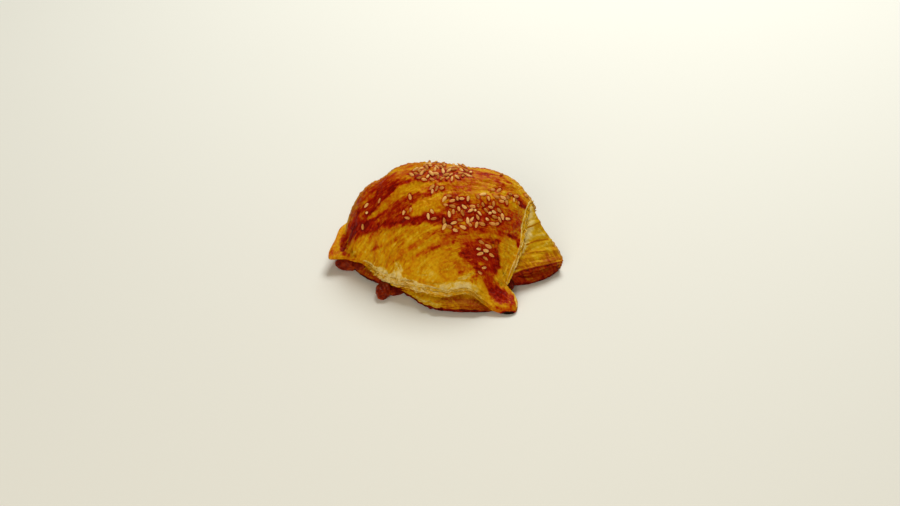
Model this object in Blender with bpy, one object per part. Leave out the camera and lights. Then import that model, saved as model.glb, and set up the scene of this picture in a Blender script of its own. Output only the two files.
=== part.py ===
"""Samsa: a square of puff pastry folded cornerwise over a filling and baked.

The upper sheet is a seeded dome whose two open sides are cut edges. The lower sheet
shows as a slab under the front edge and sticks out on the right as a wing. Juice has
set dark under the left corner, in a drip at the front left and under the waist on the
right. All of it has grown together in the oven, so it is one solid.

Every length below is in millimetres and MM turns it into metres. X runs to the right,
Y away from the front edge and Z up. The origin is under the middle of the samsa.
"""

import math
import random

import bmesh
import bpy
import numpy as np
from mathutils import Euler, Matrix, Vector, noise
from mathutils.bvhtree import BVHTree

MM = 0.001

# Dome over the filling
CROWN = np.array([-3.0, 7.0])
CROWN_HEIGHT = 42.2

# Ribs of the dome, one every 30 degrees anticlockwise from the left: reach from the
# crown to the foot, height of the foot, flatness of the top, fullness of the side
DOME_RIBS = (
    (40.5, 7.5, 2.3, 0.50),
    (36.4, 6.0, 2.1, 0.70),
    (37.0, 5.5, 2.0, 0.90),
    (40.0, 5.5, 2.0, 0.95),
    (43.5, 5.0, 2.1, 0.85),
    (42.0, 5.0, 2.6, 0.58),
    (48.5, 3.0, 2.4, 0.40),
    (44.0, 2.0, 1.8, 0.40),
    (33.5, 2.0, 2.0, 0.66),
    (29.5, 2.0, 2.2, 0.64),
    (33.5, 2.0, 2.6, 0.66),
    (40.3, 4.0, 2.2, 0.58),
)

# Dip between the left shoulder and the crown: its ends seen from above, half width, depth
DIP_ENDS = ((-31.0, 0.0), (-27.0, 18.0))
DIP_WIDTH = 3.2
DIP_DEPTH = 1.6

# Edge of the upper sheet, anticlockwise from the left corner: x, y, height of its top,
# thickness, slope of the rim just inside it
UPPER_EDGE = (
    (-50.0, -6.0, 7.1, 1.1, 0.02),  # left corner, lifted off the ground
    (-43.0, -6.3, 6.9, 1.3, 0.05),
    (-34.0, -9.5, 7.0, 2.6, 0.10),
    (-24.5, -21.0, 8.6, 4.2, 0.15),
    (-12.5, -27.0, 8.6, 4.0, 0.15),
    (0.0, -32.0, 8.4, 3.4, 0.20),  # middle of the front cut
    (9.5, -31.0, 8.6, 3.2, 0.25),
    (15.4, -34.6, 6.0, 2.9, 0.40),
    (19.6, -37.0, 3.6, 2.3, 0.50),
    (25.0, -38.2, 2.2, 1.8, 0.50),  # front corner, drooped to the ground and blunt
    (29.0, -37.0, 1.9, 1.6, 0.50),
    (30.2, -33.0, 2.5, 2.0, 0.50),
    (28.8, -28.5, 4.0, 2.4, 0.40),
    (25.8, -25.2, 6.0, 2.5, 0.25),  # waist between corner and side cut
    (31.3, -13.5, 16.5, 3.5, 0.20),
    (33.3, -4.0, 23.5, 5.0, 0.20),
    (36.2, 5.0, 27.6, 6.0, 0.20),  # right shoulder, top of the side cut
    (38.0, 14.5, 20.0, 5.0, 0.20),
    (31.0, 28.0, 5.0, 3.0, 0.20),  # start of the fold
    (2.0, 37.6, 2.6, 2.2, 0.20),
    (-31.0, 31.0, 4.0, 2.6, 0.20),
    (-44.4, 15.5, 9.6, 2.6, 0.05),  # end of the fold, pressed flat
    (-48.0, 5.0, 8.2, 1.8, 0.03),
)
RIM_REACH = 12.0
RIM_SOFTNESS = 2.2
UNDERSIDE_DEPTH = 5.0
UNDERSIDE_DROP = 0.5
CORE_SHARE = 0.45
CORE_FLOOR = 2.5

# Leaves of the cut edge: how far down the edge each line lies and how far it is set in
EDGE_LEAVES = ((0.20, -0.5), (0.45, -0.4), (0.75, -1.2), (1.0, 0.6))
FOLDED_THICKNESS = 2.4
LEAF_OPENING = 1.4
RAGGEDNESS = 0.9
RAG_LENGTH = 4.0
CLEARANCE = 0.25

# Edge of the lower sheet's slab, anticlockwise from the left: x, y, height of its top
LOWER_EDGE = (
    (-43.2, 4.0, 3.8),
    (-36.5, -10.0, 3.6),
    (-27.5, -17.5, 4.0),
    (-16.0, -24.5, 4.2),
    (-8.5, -32.6, 4.6),
    (0.0, -36.2, 4.6),  # front, a little ahead of the upper sheet
    (12.0, -37.2, 4.4),
    (18.5, -36.3, 2.4),
    (23.5, -33.0, 1.8),
    (25.5, -25.0, 3.5),
    (28.8, -19.2, 5.6),  # waist under the front corner
    (36.5, -17.0, 3.4),  # a lower layer ahead of the wing
    (45.0, -12.0, 3.8),
    (49.2, -5.5, 4.8),  # right corner
    (48.3, 6.0, 5.0),
    (40.0, 19.0, 3.0),
    (20.0, 32.0, 2.2),
    (-12.0, 35.8, 2.0),
    (-35.0, 25.5, 2.8),
)
SLAB_SLOPE = 0.15
SLAB_CAP = 11.0

# Side of the slab: share of its height at each line and how far that line is set in
SLAB_SIDE = ((0.45, -0.3), (0.12, 0.3), (0.0, 1.4))

# Wing of the lower sheet: a tent over the right corner of the slab. The ridge sinks
# from under the dome to the corner, and both sides end close to the slab's edge
WING_RIDGE = (
    (10.0, 6.0, 27.0),
    (29.0, 7.5, 30.0),
    (36.8, 4.2, 26.4),
    (41.6, 0.9, 18.6),
    (46.2, -2.0, 11.6),
    (50.7, -5.5, 5.9),
)
WING_FRONT = (
    (10.0, -22.0, 5.0),
    (23.0, -21.5, 6.8),
    (33.0, -17.2, 8.2),
    (42.0, -12.7, 7.6),
    (50.8, -7.1, 5.8),
)
WING_BACK = (
    (10.0, 30.0, 2.0),
    (28.0, 27.0, 2.6),
    (40.5, 18.0, 3.2),
    (47.8, 6.5, 4.8),
    (50.8, -4.1, 5.7),
)
WING_SAG = 1.2
WING_SAG_HEIGHT = 12.0
WING_TUCK = 1.0

# Uneven swell of the crust: height of the swells and their length
SWELL_HEIGHT = 0.9
SWELL_LENGTH = 11.0

# Set juice: middle, half sizes and turn in degrees of each lump
JUICE_LUMPS = (
    ((-42.2, -5.4, 2.9), (5.2, 2.8, 3.1), -8.0),
    ((-36.4, -8.4, 3.4), (2.8, 1.9, 1.8), -24.0),
    ((-25.4, -23.6, 2.2), (3.5, 5.2, 3.0), -14.0),
    ((-20.6, -22.9, 1.7), (5.4, 2.3, 2.1), 20.0),
    ((26.8, -20.4, 2.9), (2.2, 3.2, 2.8), 15.0),
)
LUMP_ROUGHNESS = 0.03
LUMP_GRAIN = 1.7

# Sesame seeds: size, how deep they sit, how far apart they keep, the direction in degrees
# that many of them share and how strongly, how far one leans at most in degrees, the odd
# power that leaves most of them nearly flat, and how their sizes vary
SEED_LENGTH = 3.0
SEED_WIDTH = 1.42
SEED_THICKNESS = 1.05
SEED_SINK = 0.28
SEED_SPACING = 1.75
SEED_DIRECTION = -50.0
SEED_COMBING = 0.65
SEED_LEAN = 44.0
SEED_LEAN_POWER = 3
SEED_SIZES = (0.82, 1.08)
SEED_TRIES = 400
SEED_SIDES = 5
PLACES_SEED = 7
POSES_SEED = 11

# Girth of a seed along its length, from its round back to its pointed front
SEED_GIRTHS = ((-0.20, 1.0), (0.18, 0.84))

# Patches of seeds seen from above: middle, half sizes, turn in degrees, seeds in it
SEED_PATCHES = (
    ((-1.8, 6.0), (13.2, 6.0), 0.0, 38),
    ((-1.0, 14.5), (12.5, 4.0), 0.0, 12),
    ((-3.5, -3.4), (2.8, 1.4), 0.0, 4),
    ((13.0, -12.6), (14.5, 3.9), 17.0, 36),
    ((22.5, -3.0), (9.8, 3.4), 26.0, 15),
    ((5.0, -9.5), (6.5, 3.0), -8.0, 8),
    ((-4.5, -12.5), (2.6, 1.8), 0.0, 3),
    ((16.3, -23.5), (3.6, 5.2), -12.0, 9),
    ((-33.8, -1.0), (1.4, 3.6), 0.0, 3),
    ((-27.3, 0.0), (1.0, 1.0), 0.0, 1),
    ((-15.6, -3.0), (2.2, 10.5), 0.0, 4),
    ((24.8, 11.5), (0.5, 0.5), 0.0, 1),
    ((34.9, 6.6), (0.4, 0.4), 0.0, 1),
)

# Fineness of the solids
COLUMNS = 90
UPPER_RINGS = 12
SLAB_RINGS = 3
WING_STEPS = 12
WING_RISE_STEPS = 6
RING_CROWDING = 1.6
CORNER_WEAR = 6
CORNER_PULL = 4
CURVE_STEPS = 40
MERGE_DISTANCE = 0.0001

CRUST_COLOUR = (0.52, 0.24, 0.02, 1.0)
CRUST_ROUGHNESS = 0.38


def remove_old_objects():
    for old in list(bpy.data.objects):
        bpy.data.objects.remove(old, do_unlink=True)


def catmull_rom(before, start, end, after, share):
    """A smooth step from start to end that also heeds the neighbours on both sides."""
    return 0.5 * (
        2 * start
        + (end - before) * share
        + (2 * before - 5 * start + 4 * end - after) * share**2
        + (3 * start - before - 3 * end + after) * share**3
    )


def closed_curve(stations, count):
    """Evenly spaced points on a smooth closed curve through all the stations."""
    knots = np.array(stations)
    share = np.arange(CURVE_STEPS)[None, :, None] / CURVE_STEPS
    neighbours = (np.roll(knots, -step, axis=0)[:, None] for step in (-1, 0, 1, 2))
    curve = catmull_rom(*neighbours, share).reshape(-1, knots.shape[1])
    loop = np.vstack([curve, curve[:1]])
    steps = np.linalg.norm(np.diff(loop[:, :2], axis=0), axis=1)
    travelled = np.concatenate([[0.0], np.cumsum(steps)])
    wanted = np.linspace(0.0, travelled[-1], count, endpoint=False)
    return np.stack([np.interp(wanted, travelled, column) for column in loop.T], axis=1)


def open_curve(stations, count):
    """Points on a smooth curve from the first station to the last."""
    knots = np.array(stations)
    ends = (2 * knots[0] - knots[1], 2 * knots[-1] - knots[-2])
    padded = np.vstack([ends[0], knots, ends[1]])
    place = np.linspace(0.0, len(knots) - 1, count)
    start = np.minimum(place.astype(int), len(knots) - 2)
    neighbours = (padded[start + step] for step in range(4))
    return catmull_rom(*neighbours, (place - start)[:, None])


def smooth_max(first, second, softness=1.0):
    """The larger of two heights, with the corner between them rounded off."""
    gap = np.abs(first - second)
    return np.maximum(first, second) + np.exp(-gap / softness) * softness * 0.5


def rib_value(angle, column):
    """One value of the dome's ribs at an angle in radians, smooth all the way round."""
    values = np.array([rib[column] for rib in DOME_RIBS])
    place = (angle + np.pi) / (2 * np.pi) * len(values)
    start = np.floor(place).astype(int)
    neighbours = (values[(start + step) % len(values)] for step in (-1, 0, 1, 2))
    return catmull_rom(*neighbours, place - start)


def shoulder_dip(places):
    """How much lower the dome lies at each place because of the dip by its shoulder."""
    start, end = np.array(DIP_ENDS)
    step = end - start
    along = np.clip((places - start) @ step / (step @ step), 0.0, 1.0)
    distance = np.linalg.norm(places - start - along[:, None] * step, axis=1)
    return DIP_DEPTH * np.exp(-((distance / DIP_WIDTH) ** 2))


def dome_height(places):
    away = places - CROWN
    angle = np.arctan2(away[:, 1], away[:, 0])
    reach, foot, flatness, fullness = (rib_value(angle, column) for column in range(4))
    share = np.linalg.norm(away, axis=1) / reach
    inside = np.clip(1.0 - share**flatness, 0.0, None)
    return foot + (CROWN_HEIGHT - foot) * inside**fullness - shoulder_dip(places)


def uneven(places, length, layer=0.0):
    """A value between about -1 and 1 at each place, which turns over this length."""
    return np.array([noise.noise(Vector((x, y, layer)) / length) for x, y in places[:, :2]])


def rounded(outline):
    """The same closed curve with its corners worn away, so that rings inside it are even."""
    offsets = range(-CORNER_WEAR, CORNER_WEAR + 1)
    return sum(np.roll(outline, offset, axis=0) for offset in offsets) / len(offsets)


def inner_ring(edge, share):
    """Places this share of the way from the crown to the edge, and how far inside it."""
    outline = edge[:, :2]
    even = rounded(outline)
    places = CROWN + (even - CROWN) * share + (outline - even) * share**CORNER_PULL
    return places, np.linalg.norm(outline - places, axis=1)


def set_in(edge, distance, height):
    """A ring that keeps this distance inside an edge, at a height of its own."""
    out = edge[:, :2] - CROWN
    out /= np.linalg.norm(out, axis=1)[:, None]
    return np.column_stack([edge[:, :2] - out * np.reshape(distance, (-1, 1)), height])


def crowded_shares(count):
    """Shares from the crown to the edge, closer together towards the edge."""
    return [1.0 - (1.0 - number / count) ** RING_CROWDING for number in range(1, count + 1)]


def upper_sheet_rings():
    """Rings of the upper sheet, from the crown over the top, down the edge and back in."""
    edge = closed_curve(UPPER_EDGE, COLUMNS)
    edge_top, thickness, slope = edge[:, 2], edge[:, 3], edge[:, 4]
    rings = []
    for share in crowded_shares(UPPER_RINGS):
        places, inside = inner_ring(edge, share)
        rim = edge_top + slope * np.minimum(inside, RIM_REACH)
        height = smooth_max(dome_height(places), rim) + SWELL_HEIGHT * uneven(places, SWELL_LENGTH)
        settled = 1.0 - np.exp(-inside / RIM_SOFTNESS)
        rings.append(np.column_stack([places, edge_top + (height - edge_top) * settled]))
    cut = np.clip((thickness - FOLDED_THICKNESS) / LEAF_OPENING, 0.0, 1.0)
    for number, (down, set_back) in enumerate(EDGE_LEAVES):
        rag = RAGGEDNESS * cut * uneven(edge, RAG_LENGTH, number * 10.0)
        height = np.maximum(edge_top - thickness * down, CLEARANCE * (len(EDGE_LEAVES) - number))
        rings.append(set_in(edge, set_back * cut + rag, height))
    rings.append(set_in(edge, UNDERSIDE_DEPTH, np.maximum(height - UNDERSIDE_DROP, CLEARANCE)))
    core = inner_ring(edge, CORE_SHARE)[0]
    rings.append(np.column_stack([core, np.full(COLUMNS, CORE_FLOOR)]))
    return rings


def slab_rings():
    """Rings of the slab, from its top down the bulging side to the flat foot."""
    edge = closed_curve(LOWER_EDGE, COLUMNS)
    edge_top = edge[:, 2]
    rings = []
    for share in crowded_shares(SLAB_RINGS):
        places, inside = inner_ring(edge, share)
        height = np.minimum(edge_top + SLAB_SLOPE * inside, SLAB_CAP)
        rings.append(np.column_stack([places, height]))
    rings.extend(set_in(edge, inset, edge_top * share) for share, inset in SLAB_SIDE)
    return rings


def wing_rings():
    """Rings across the wing: up its front side, over the ridge, down its back, under it."""
    curves = (open_curve(line, WING_STEPS) for line in (WING_FRONT, WING_RIDGE, WING_BACK))
    share = np.linspace(0.0, 1.0, WING_RISE_STEPS + 1)[:, None]
    rings = []
    for front, ridge, back in zip(*curves):
        rise = min(1.0, (ridge[2] - front[2]) / WING_SAG_HEIGHT)
        sag = np.sin(share * np.pi) * WING_SAG * rise
        up = front + (ridge - front) * share
        down = ridge + (back - ridge) * share
        up[:, 2:] -= sag
        down[:, 2:] += sag
        under_back = (back[0] - WING_TUCK, back[1] - WING_TUCK, WING_TUCK)
        under_front = (front[0] - WING_TUCK, front[1] + WING_TUCK, WING_TUCK)
        rings.append(np.vstack([up, down[1:], under_back, under_front]))
    return rings


def new_object(name, mesh):
    """An object for a filled bmesh, which is then freed."""
    bmesh.ops.triangulate(mesh, faces=mesh.faces)
    bmesh.ops.recalc_face_normals(mesh, faces=mesh.faces)
    data = bpy.data.meshes.new(name)
    mesh.to_mesh(data)
    mesh.free()
    return bpy.data.objects.new(name, data)


def lofted_solid(name, rings, first_point, last_point):
    """A closed solid through rings of equal length, closed by a point at both ends."""
    mesh = bmesh.new()
    loops = [[mesh.verts.new(Vector(point) * MM) for point in ring] for ring in rings]
    first = mesh.verts.new(Vector(first_point) * MM)
    last = mesh.verts.new(Vector(last_point) * MM)
    count = len(loops[0])
    for place in range(count):
        following = (place + 1) % count
        mesh.faces.new((first, loops[0][following], loops[0][place]))
        mesh.faces.new((last, loops[-1][place], loops[-1][following]))
        for upper, lower in zip(loops, loops[1:]):
            mesh.faces.new((upper[place], upper[following], lower[following], lower[place]))
    return new_object(name, mesh)


def juice_lump(name, middle, half_sizes, turn):
    """A rough rounded lump of set juice, cut off flat where it meets the ground."""
    mesh = bmesh.new()
    bmesh.ops.create_icosphere(mesh, subdivisions=2, radius=1.0)
    for vertex in mesh.verts:
        roughness = LUMP_ROUGHNESS * noise.noise(vertex.co * LUMP_GRAIN + Vector(middle))
        vertex.co *= 1.0 + roughness
        vertex.co = Vector(a * b for a, b in zip(vertex.co, half_sizes))
        vertex.co.rotate(Euler((0.0, 0.0, math.radians(turn))))
        vertex.co += Vector(middle)
        vertex.co.z = max(vertex.co.z, 0.0)
        vertex.co *= MM
    bmesh.ops.remove_doubles(mesh, verts=mesh.verts, dist=MERGE_DISTANCE * MM)
    return new_object(name, mesh)


def seed_mesh():
    """A flat drop-shaped seed lying along X with its pointed end at the front."""
    mesh = bmesh.new()
    rings = []
    for along, girth in SEED_GIRTHS:
        ring = []
        for corner in range(SEED_SIDES):
            turn = math.tau * corner / SEED_SIDES
            ring.append(mesh.verts.new((
                along * SEED_LENGTH * MM,
                math.cos(turn) * girth * SEED_WIDTH / 2 * MM,
                math.sin(turn) * girth * SEED_THICKNESS / 2 * MM,
            )))
        rings.append(ring)
    back = mesh.verts.new((-0.5 * SEED_LENGTH * MM, 0.0, 0.0))
    tip = mesh.verts.new((0.5 * SEED_LENGTH * MM, 0.0, 0.0))
    for corner in range(SEED_SIDES):
        following = (corner + 1) % SEED_SIDES
        mesh.faces.new((back, rings[0][following], rings[0][corner]))
        mesh.faces.new((tip, rings[-1][corner], rings[-1][following]))
        for behind, ahead in zip(rings, rings[1:]):
            mesh.faces.new((behind[corner], behind[following], ahead[following], ahead[corner]))
    bmesh.ops.triangulate(mesh, faces=mesh.faces)
    bmesh.ops.recalc_face_normals(mesh, faces=mesh.faces)
    data = bpy.data.meshes.new("seed")
    mesh.to_mesh(data)
    mesh.free()
    return data


def seed_places():
    """Places of the seeds from above, a little apart, patch by patch."""
    chance = random.Random(PLACES_SEED)
    places = []
    for middle, half_sizes, turn, wanted in SEED_PATCHES:
        found = 0
        for _ in range(SEED_TRIES):
            angle = chance.uniform(0.0, math.tau)
            radius = math.sqrt(chance.random())
            offset = Vector((half_sizes[0] * math.cos(angle), half_sizes[1] * math.sin(angle)))
            offset.rotate(Matrix.Rotation(math.radians(turn), 2))
            place = Vector(middle) + offset * radius
            if found < wanted and all((place - other).length > SEED_SPACING for other in places):
                places.append(place)
                found += 1
    return places


def seeds_on(crust):
    """Seeds pressed into the crust, each lying along it at an angle of its own."""
    chance = random.Random(POSES_SEED)
    surface = BVHTree.FromObject(crust, bpy.context.evaluated_depsgraph_get())
    data = seed_mesh()
    seeds = []
    for number, place in enumerate(seed_places()):
        above = Vector((place.x, place.y, CROWN_HEIGHT * 2)) * MM
        hit, normal, _, _ = surface.ray_cast(above, Vector((0.0, 0.0, -1.0)))
        turn = chance.uniform(0.0, math.tau)
        turn -= SEED_COMBING / 2 * math.sin(2 * (turn - math.radians(SEED_DIRECTION)))
        spin = Matrix.Rotation(turn, 4, "Z")
        angle = SEED_LEAN * chance.uniform(-1.0, 1.0) ** SEED_LEAN_POWER
        lean = Matrix.Rotation(math.radians(angle), 4, "Y")
        size = Matrix.Scale(chance.uniform(*SEED_SIZES), 4)
        tilt = normal.to_track_quat("Z", "Y").to_matrix().to_4x4()
        rise = SEED_THICKNESS * (0.5 - SEED_SINK)
        seed = bpy.data.objects.new(f"seed_{number}", data)
        resting = Matrix.Translation(hit + normal * rise * MM)
        seed.matrix_world = resting @ tilt @ spin @ lean @ size
        seeds.append(seed)
    return seeds


def fused(crust, others):
    """The crust with all the others joined to it by one union, and nothing left of them."""
    joined = bpy.data.collections.new("joined")
    bpy.context.scene.collection.children.link(joined)
    for other in others:
        joined.objects.link(other)
    union = crust.modifiers.new("union", "BOOLEAN")
    union.operation = "UNION"
    union.operand_type = "COLLECTION"
    union.collection = joined
    union.solver = "EXACT"
    bpy.context.view_layer.update()
    graph = bpy.context.evaluated_depsgraph_get()
    data = bpy.data.meshes.new_from_object(crust.evaluated_get(graph))
    crust.modifiers.remove(union)
    crust.data = data
    for other in others:
        bpy.data.objects.remove(other, do_unlink=True)
    bpy.data.collections.remove(joined)
    return crust


def crust_material():
    material = bpy.data.materials.new("baked_pastry")
    material.use_nodes = True
    shader = material.node_tree.nodes["Principled BSDF"]
    shader.inputs["Base Color"].default_value = CRUST_COLOUR
    shader.inputs["Roughness"].default_value = CRUST_ROUGHNESS
    shader.inputs["Metallic"].default_value = 0.0
    return material


def main():
    remove_old_objects()
    crown_top = (*CROWN, CROWN_HEIGHT)
    crust = lofted_solid("samsa", upper_sheet_rings(), crown_top, (*CROWN, CORE_FLOOR))
    bpy.context.scene.collection.objects.link(crust)
    bpy.context.view_layer.update()
    slab = lofted_solid("slab", slab_rings(), (*CROWN, SLAB_CAP), (*CROWN, 0.0))
    rings = wing_rings()
    wing = lofted_solid("wing", rings, rings[0].mean(axis=0), rings[-1].mean(axis=0))
    juice = [juice_lump(f"juice_{number}", *lump) for number, lump in enumerate(JUICE_LUMPS)]
    fused(crust, [slab, wing, *juice, *seeds_on(crust)])
    crust.data.materials.clear()
    crust.data.materials.append(crust_material())


main()
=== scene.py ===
"""Looks of the samsa: crust, lower sheet, set juice, sesame and lifted flakes.

The forms follow the solid's outlines, with finer relief. Lengths are in millimetres,
which MM turns into metres. X runs to the right, Y away from the front edge and Z up.

Marks are drawn on a card, a plane through the origin that faces the camera. A ray from
the camera through a point of the card finds a place on the pastry, and distances from
there are measured in space, so a mark lies on the pastry seen from any side.
"""

import math
import random

import bmesh
import bpy
import numpy as np
from mathutils import Euler, Matrix, Vector, noise
from mathutils.bvhtree import BVHTree


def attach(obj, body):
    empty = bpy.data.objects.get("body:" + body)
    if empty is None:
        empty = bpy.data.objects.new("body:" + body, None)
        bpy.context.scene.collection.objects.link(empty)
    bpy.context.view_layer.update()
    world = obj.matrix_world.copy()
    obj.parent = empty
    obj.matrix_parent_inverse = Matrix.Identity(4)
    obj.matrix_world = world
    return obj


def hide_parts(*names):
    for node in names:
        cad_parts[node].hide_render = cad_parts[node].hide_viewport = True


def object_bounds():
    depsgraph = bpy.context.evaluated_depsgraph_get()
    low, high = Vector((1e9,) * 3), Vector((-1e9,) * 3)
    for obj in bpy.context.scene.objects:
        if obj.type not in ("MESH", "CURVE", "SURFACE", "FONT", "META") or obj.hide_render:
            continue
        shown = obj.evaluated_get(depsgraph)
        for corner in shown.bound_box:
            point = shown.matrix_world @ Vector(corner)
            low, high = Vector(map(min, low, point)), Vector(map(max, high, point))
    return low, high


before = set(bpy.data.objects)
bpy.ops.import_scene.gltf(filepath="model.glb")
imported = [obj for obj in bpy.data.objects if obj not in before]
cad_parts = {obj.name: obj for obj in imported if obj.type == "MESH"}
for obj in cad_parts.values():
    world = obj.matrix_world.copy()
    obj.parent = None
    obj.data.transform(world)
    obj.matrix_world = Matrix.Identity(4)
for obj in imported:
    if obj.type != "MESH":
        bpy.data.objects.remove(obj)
cad_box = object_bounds()

MM = 0.001

# Camera: where it stands, how far it looks down, and its lens
EYE = np.array([2.2, -447.1, 312.1])
LOOK_DOWN = 34.5
LENS = 50

# Axes of the card that faces the camera
LOOK_ANGLE = math.radians(LOOK_DOWN)
CARD_RIGHT = np.array([1.0, 0.0, 0.0])
CARD_UP = np.array([0.0, math.sin(LOOK_ANGLE), math.cos(LOOK_ANGLE)])
CARD_AWAY = np.array([0.0, math.cos(LOOK_ANGLE), -math.sin(LOOK_ANGLE)])

# Dome over the filling
CROWN = np.array([-3.0, 7.0])
CROWN_HEIGHT = 42.2

# Ribs of the dome, one every 30 degrees anticlockwise from the left: reach from the
# crown to the foot, height of the foot, flatness of the top, fullness of the side
DOME_RIBS = (
    (40.5, 7.5, 2.3, 0.5),
    (36.4, 6, 2.1, 0.7),
    (37, 5.5, 2, 0.9),
    (40, 5.5, 2, 0.95),
    (43.5, 5, 2.1, 0.85),
    (42, 5, 2.6, 0.58),
    (48.5, 3, 2.4, 0.4),
    (44, 2, 1.8, 0.4),
    (33.5, 2, 2, 0.66),
    (29.5, 2, 2.2, 0.64),
    (33.5, 2, 2.6, 0.66),
    (40.3, 4, 2.2, 0.58),
)

# Dip between the left shoulder and the crown: its ends seen from above, half width, depth
DIP_ENDS = ((-31, 0), (-27, 18))
DIP_WIDTH = 3.2
DIP_DEPTH = 1.6

# Edge of the upper sheet, anticlockwise from the left corner: x, y, height of its top,
# thickness, slope of the rim just inside it
UPPER_EDGE = (
    (-50, -6, 7.1, 1.1, 0.02),  # left corner, lifted off the ground
    (-43, -6.3, 6.9, 1.3, 0.05),
    (-34, -9.5, 7, 2.6, 0.1),
    (-24.5, -21, 8.6, 4.2, 0.15),
    (-12.5, -27, 8.6, 4, 0.15),
    (0, -32, 8.4, 3.4, 0.2),  # middle of the front cut
    (9.5, -31, 8.6, 3.2, 0.25),
    (15.4, -34.6, 6, 2.9, 0.4),
    (19.6, -37, 3.6, 2.3, 0.5),
    (25, -38.2, 2.2, 1.8, 0.5),  # front corner, drooped to the ground and blunt
    (29, -37, 1.9, 1.6, 0.5),
    (30.2, -33, 2.5, 2, 0.5),
    (28.8, -28.5, 4, 2.4, 0.4),
    (25.8, -25.2, 6, 2.5, 0.25),  # waist between corner and side cut
    (31.3, -13.5, 16.5, 3.5, 0.2),
    (33.3, -4, 23.5, 5, 0.2),
    (36.2, 5, 27.6, 6, 0.2),  # right shoulder, top of the side cut
    (38, 14.5, 20, 5, 0.2),
    (31, 28, 5, 3, 0.2),  # start of the fold
    (2, 37.6, 2.6, 2.2, 0.2),
    (-31, 31, 4, 2.6, 0.2),
    (-44.4, 15.5, 9.6, 2.6, 0.05),  # end of the fold, pressed flat
    (-48, 5, 8.2, 1.8, 0.03),
)

# Rim of the crust: how far in its slope runs and how softly it starts. Hidden underside:
# how far in and down it goes, and the core's share of the way out and its height
RIM_REACH = 12
RIM_SOFTNESS = 2.2
UNDERSIDE_DEPTH = 5
UNDERSIDE_DROP = 0.5
CORE_SHARE = 0.45
CORE_FLOOR = 2.5

# Profile of the cut edge: how far down it is and how far it is set in there
EDGE_PROFILE = ((0, 0), (0.2, -0.5), (0.45, -0.4), (0.75, -1.2), (1, 0.6))

# Thickness of a folded edge, how much more opens a cut fully, and the least height
FOLDED_THICKNESS = 2.4
LEAF_OPENING = 1.4
CLEARANCE = 0.25

# Unevenness is given as a strength, lengths over which it turns, and a layer of its own

# Leaves of the cut: number, solid share, depth of the gaps, and the rings down each one:
# share of its height, roundness of its lip, share of the gap's depth
LEAVES = 6
LEAF_SHARE = 0.6
LEAF_GAP = 0.7
LEAF_LINES = ((0, 0.12, 0), (0.5, 0, 0), (1, 0.12, 0), (1.1, 1, 1))
LIP_DEPTH = 0.3

# How far apart leaves stay at the ground, and how far apart their layers are
LEAF_STACKING = 0.15
LEAVES_APART = 10
SPOTS_APART = 3

# Raggedness of the leaves, and how much of it and of the waves is left at the top one
LEAF_RAGS = ((1.15, 3.1, 0), (0.69, 1.1, 0))
LEAF_WAVES = (0.45, 4, 5)
LEAF_GAPS = (0.7, 4, 7)
TOP_RAG = 0.4
RAG_GROWTH = 2
TOP_WAVE = 0.3

# Ruffles along the cut, and how far they reach in over the crust
RUFFLES = ((0.75, 2.6, 41), (0.45, 1, 43))
RUFFLE_REACH = 1.2

# Browning of the leaves: spots, in a gap (painted shade in the gap's recess), on a lip,
# where the sheet is folded and where the cut climbs the side, which it does between two heights
LEAF_SPOTS = (0.16, 1.6, 0)
GAP_SHADE = 0.32
LIP_TONE = -0.05
FOLDED_BROWNING = 0.5
SIDE_CUT_BROWNING = 0.28
SIDE_CUT_HEIGHTS = (10, 16)

# Unbrowned rim on top of the cut: least and most width, what breaks it up, how it ends,
# how much is lost at the side cut and under glaze: places along X with half lengths
RIM_WIDTH = (0.35, 2.2)
RIM_BREAK = 0.4
RIM_BREAKS = (1.3, 6, 21)
RIM_RAG = (0.35, 1.3, 23)
RIM_FADE = (0.6, 1.3)
RIM_LOSS = 0.75
RIM_GLAZED = ((-8.5, 5), (-30, 4.5))

# Least width to divide by, the least open cut that has a rim, and how uneven the rim is
# in browning and in height
LEAST_WIDTH = 0.05
LEAST_CUT = 0.02
RAW_SPOTS = (0.12, 1.2, 31)
RAW_CRUMBS = (0.35, 1.1, 33)

# Edge of the lower sheet's slab, anticlockwise from the left: x, y, height of its top
LOWER_EDGE = (
    (-43.2, 4, 3.8),
    (-36.5, -10, 3.6),
    (-27.5, -17.5, 4),
    (-16, -24.5, 4.2),
    (-8.5, -32.6, 4.6),
    (0, -36.2, 4.6),  # front, a little ahead of the upper sheet
    (12, -37.2, 4.4),
    (18.5, -36.3, 2.4),
    (23.5, -33, 1.8),
    (25.5, -25, 3.5),
    (28.8, -19.2, 5.6),  # waist under the front corner
    (36.5, -17, 3.4),  # a lower layer ahead of the wing
    (45, -12, 3.8),
    (49.2, -5.5, 4.8),  # right corner
    (48.3, 6, 5),
    (40, 19, 3),
    (20, 32, 2.2),
    (-12, 35.8, 2),
    (-35, 25.5, 2.8),
)

# Slope of the slab's top from its edge and its most height
SLAB_SLOPE = 0.15
SLAB_CAP = 11

# Profile of the slab's side: share of its height and how far it is set in there
SLAB_PROFILE = ((0, 1.4), (0.12, 0.3), (0.45, -0.3), (1, 0))

# Leaves of the slab's side: number, depth of the lines, raggedness, and the share of the
# height over which they fade to the foot
SLAB_LEAVES = 6
SLAB_LEAF_DEPTH = 0.3
SLAB_RAG_DEPTH = 1.6
SLAB_RAG_LENGTH = 2.4
SLAB_LEAVES_APART = 9
SLAB_FOOT_SHARE = 0.25

# Rougher leaves at the left of the slab's front: middle, inner and outer half length
# along X, extra depth of the gaps
ROUGH_LEAVES = (-9.5, 7.2, 12, 0.6)

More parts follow.
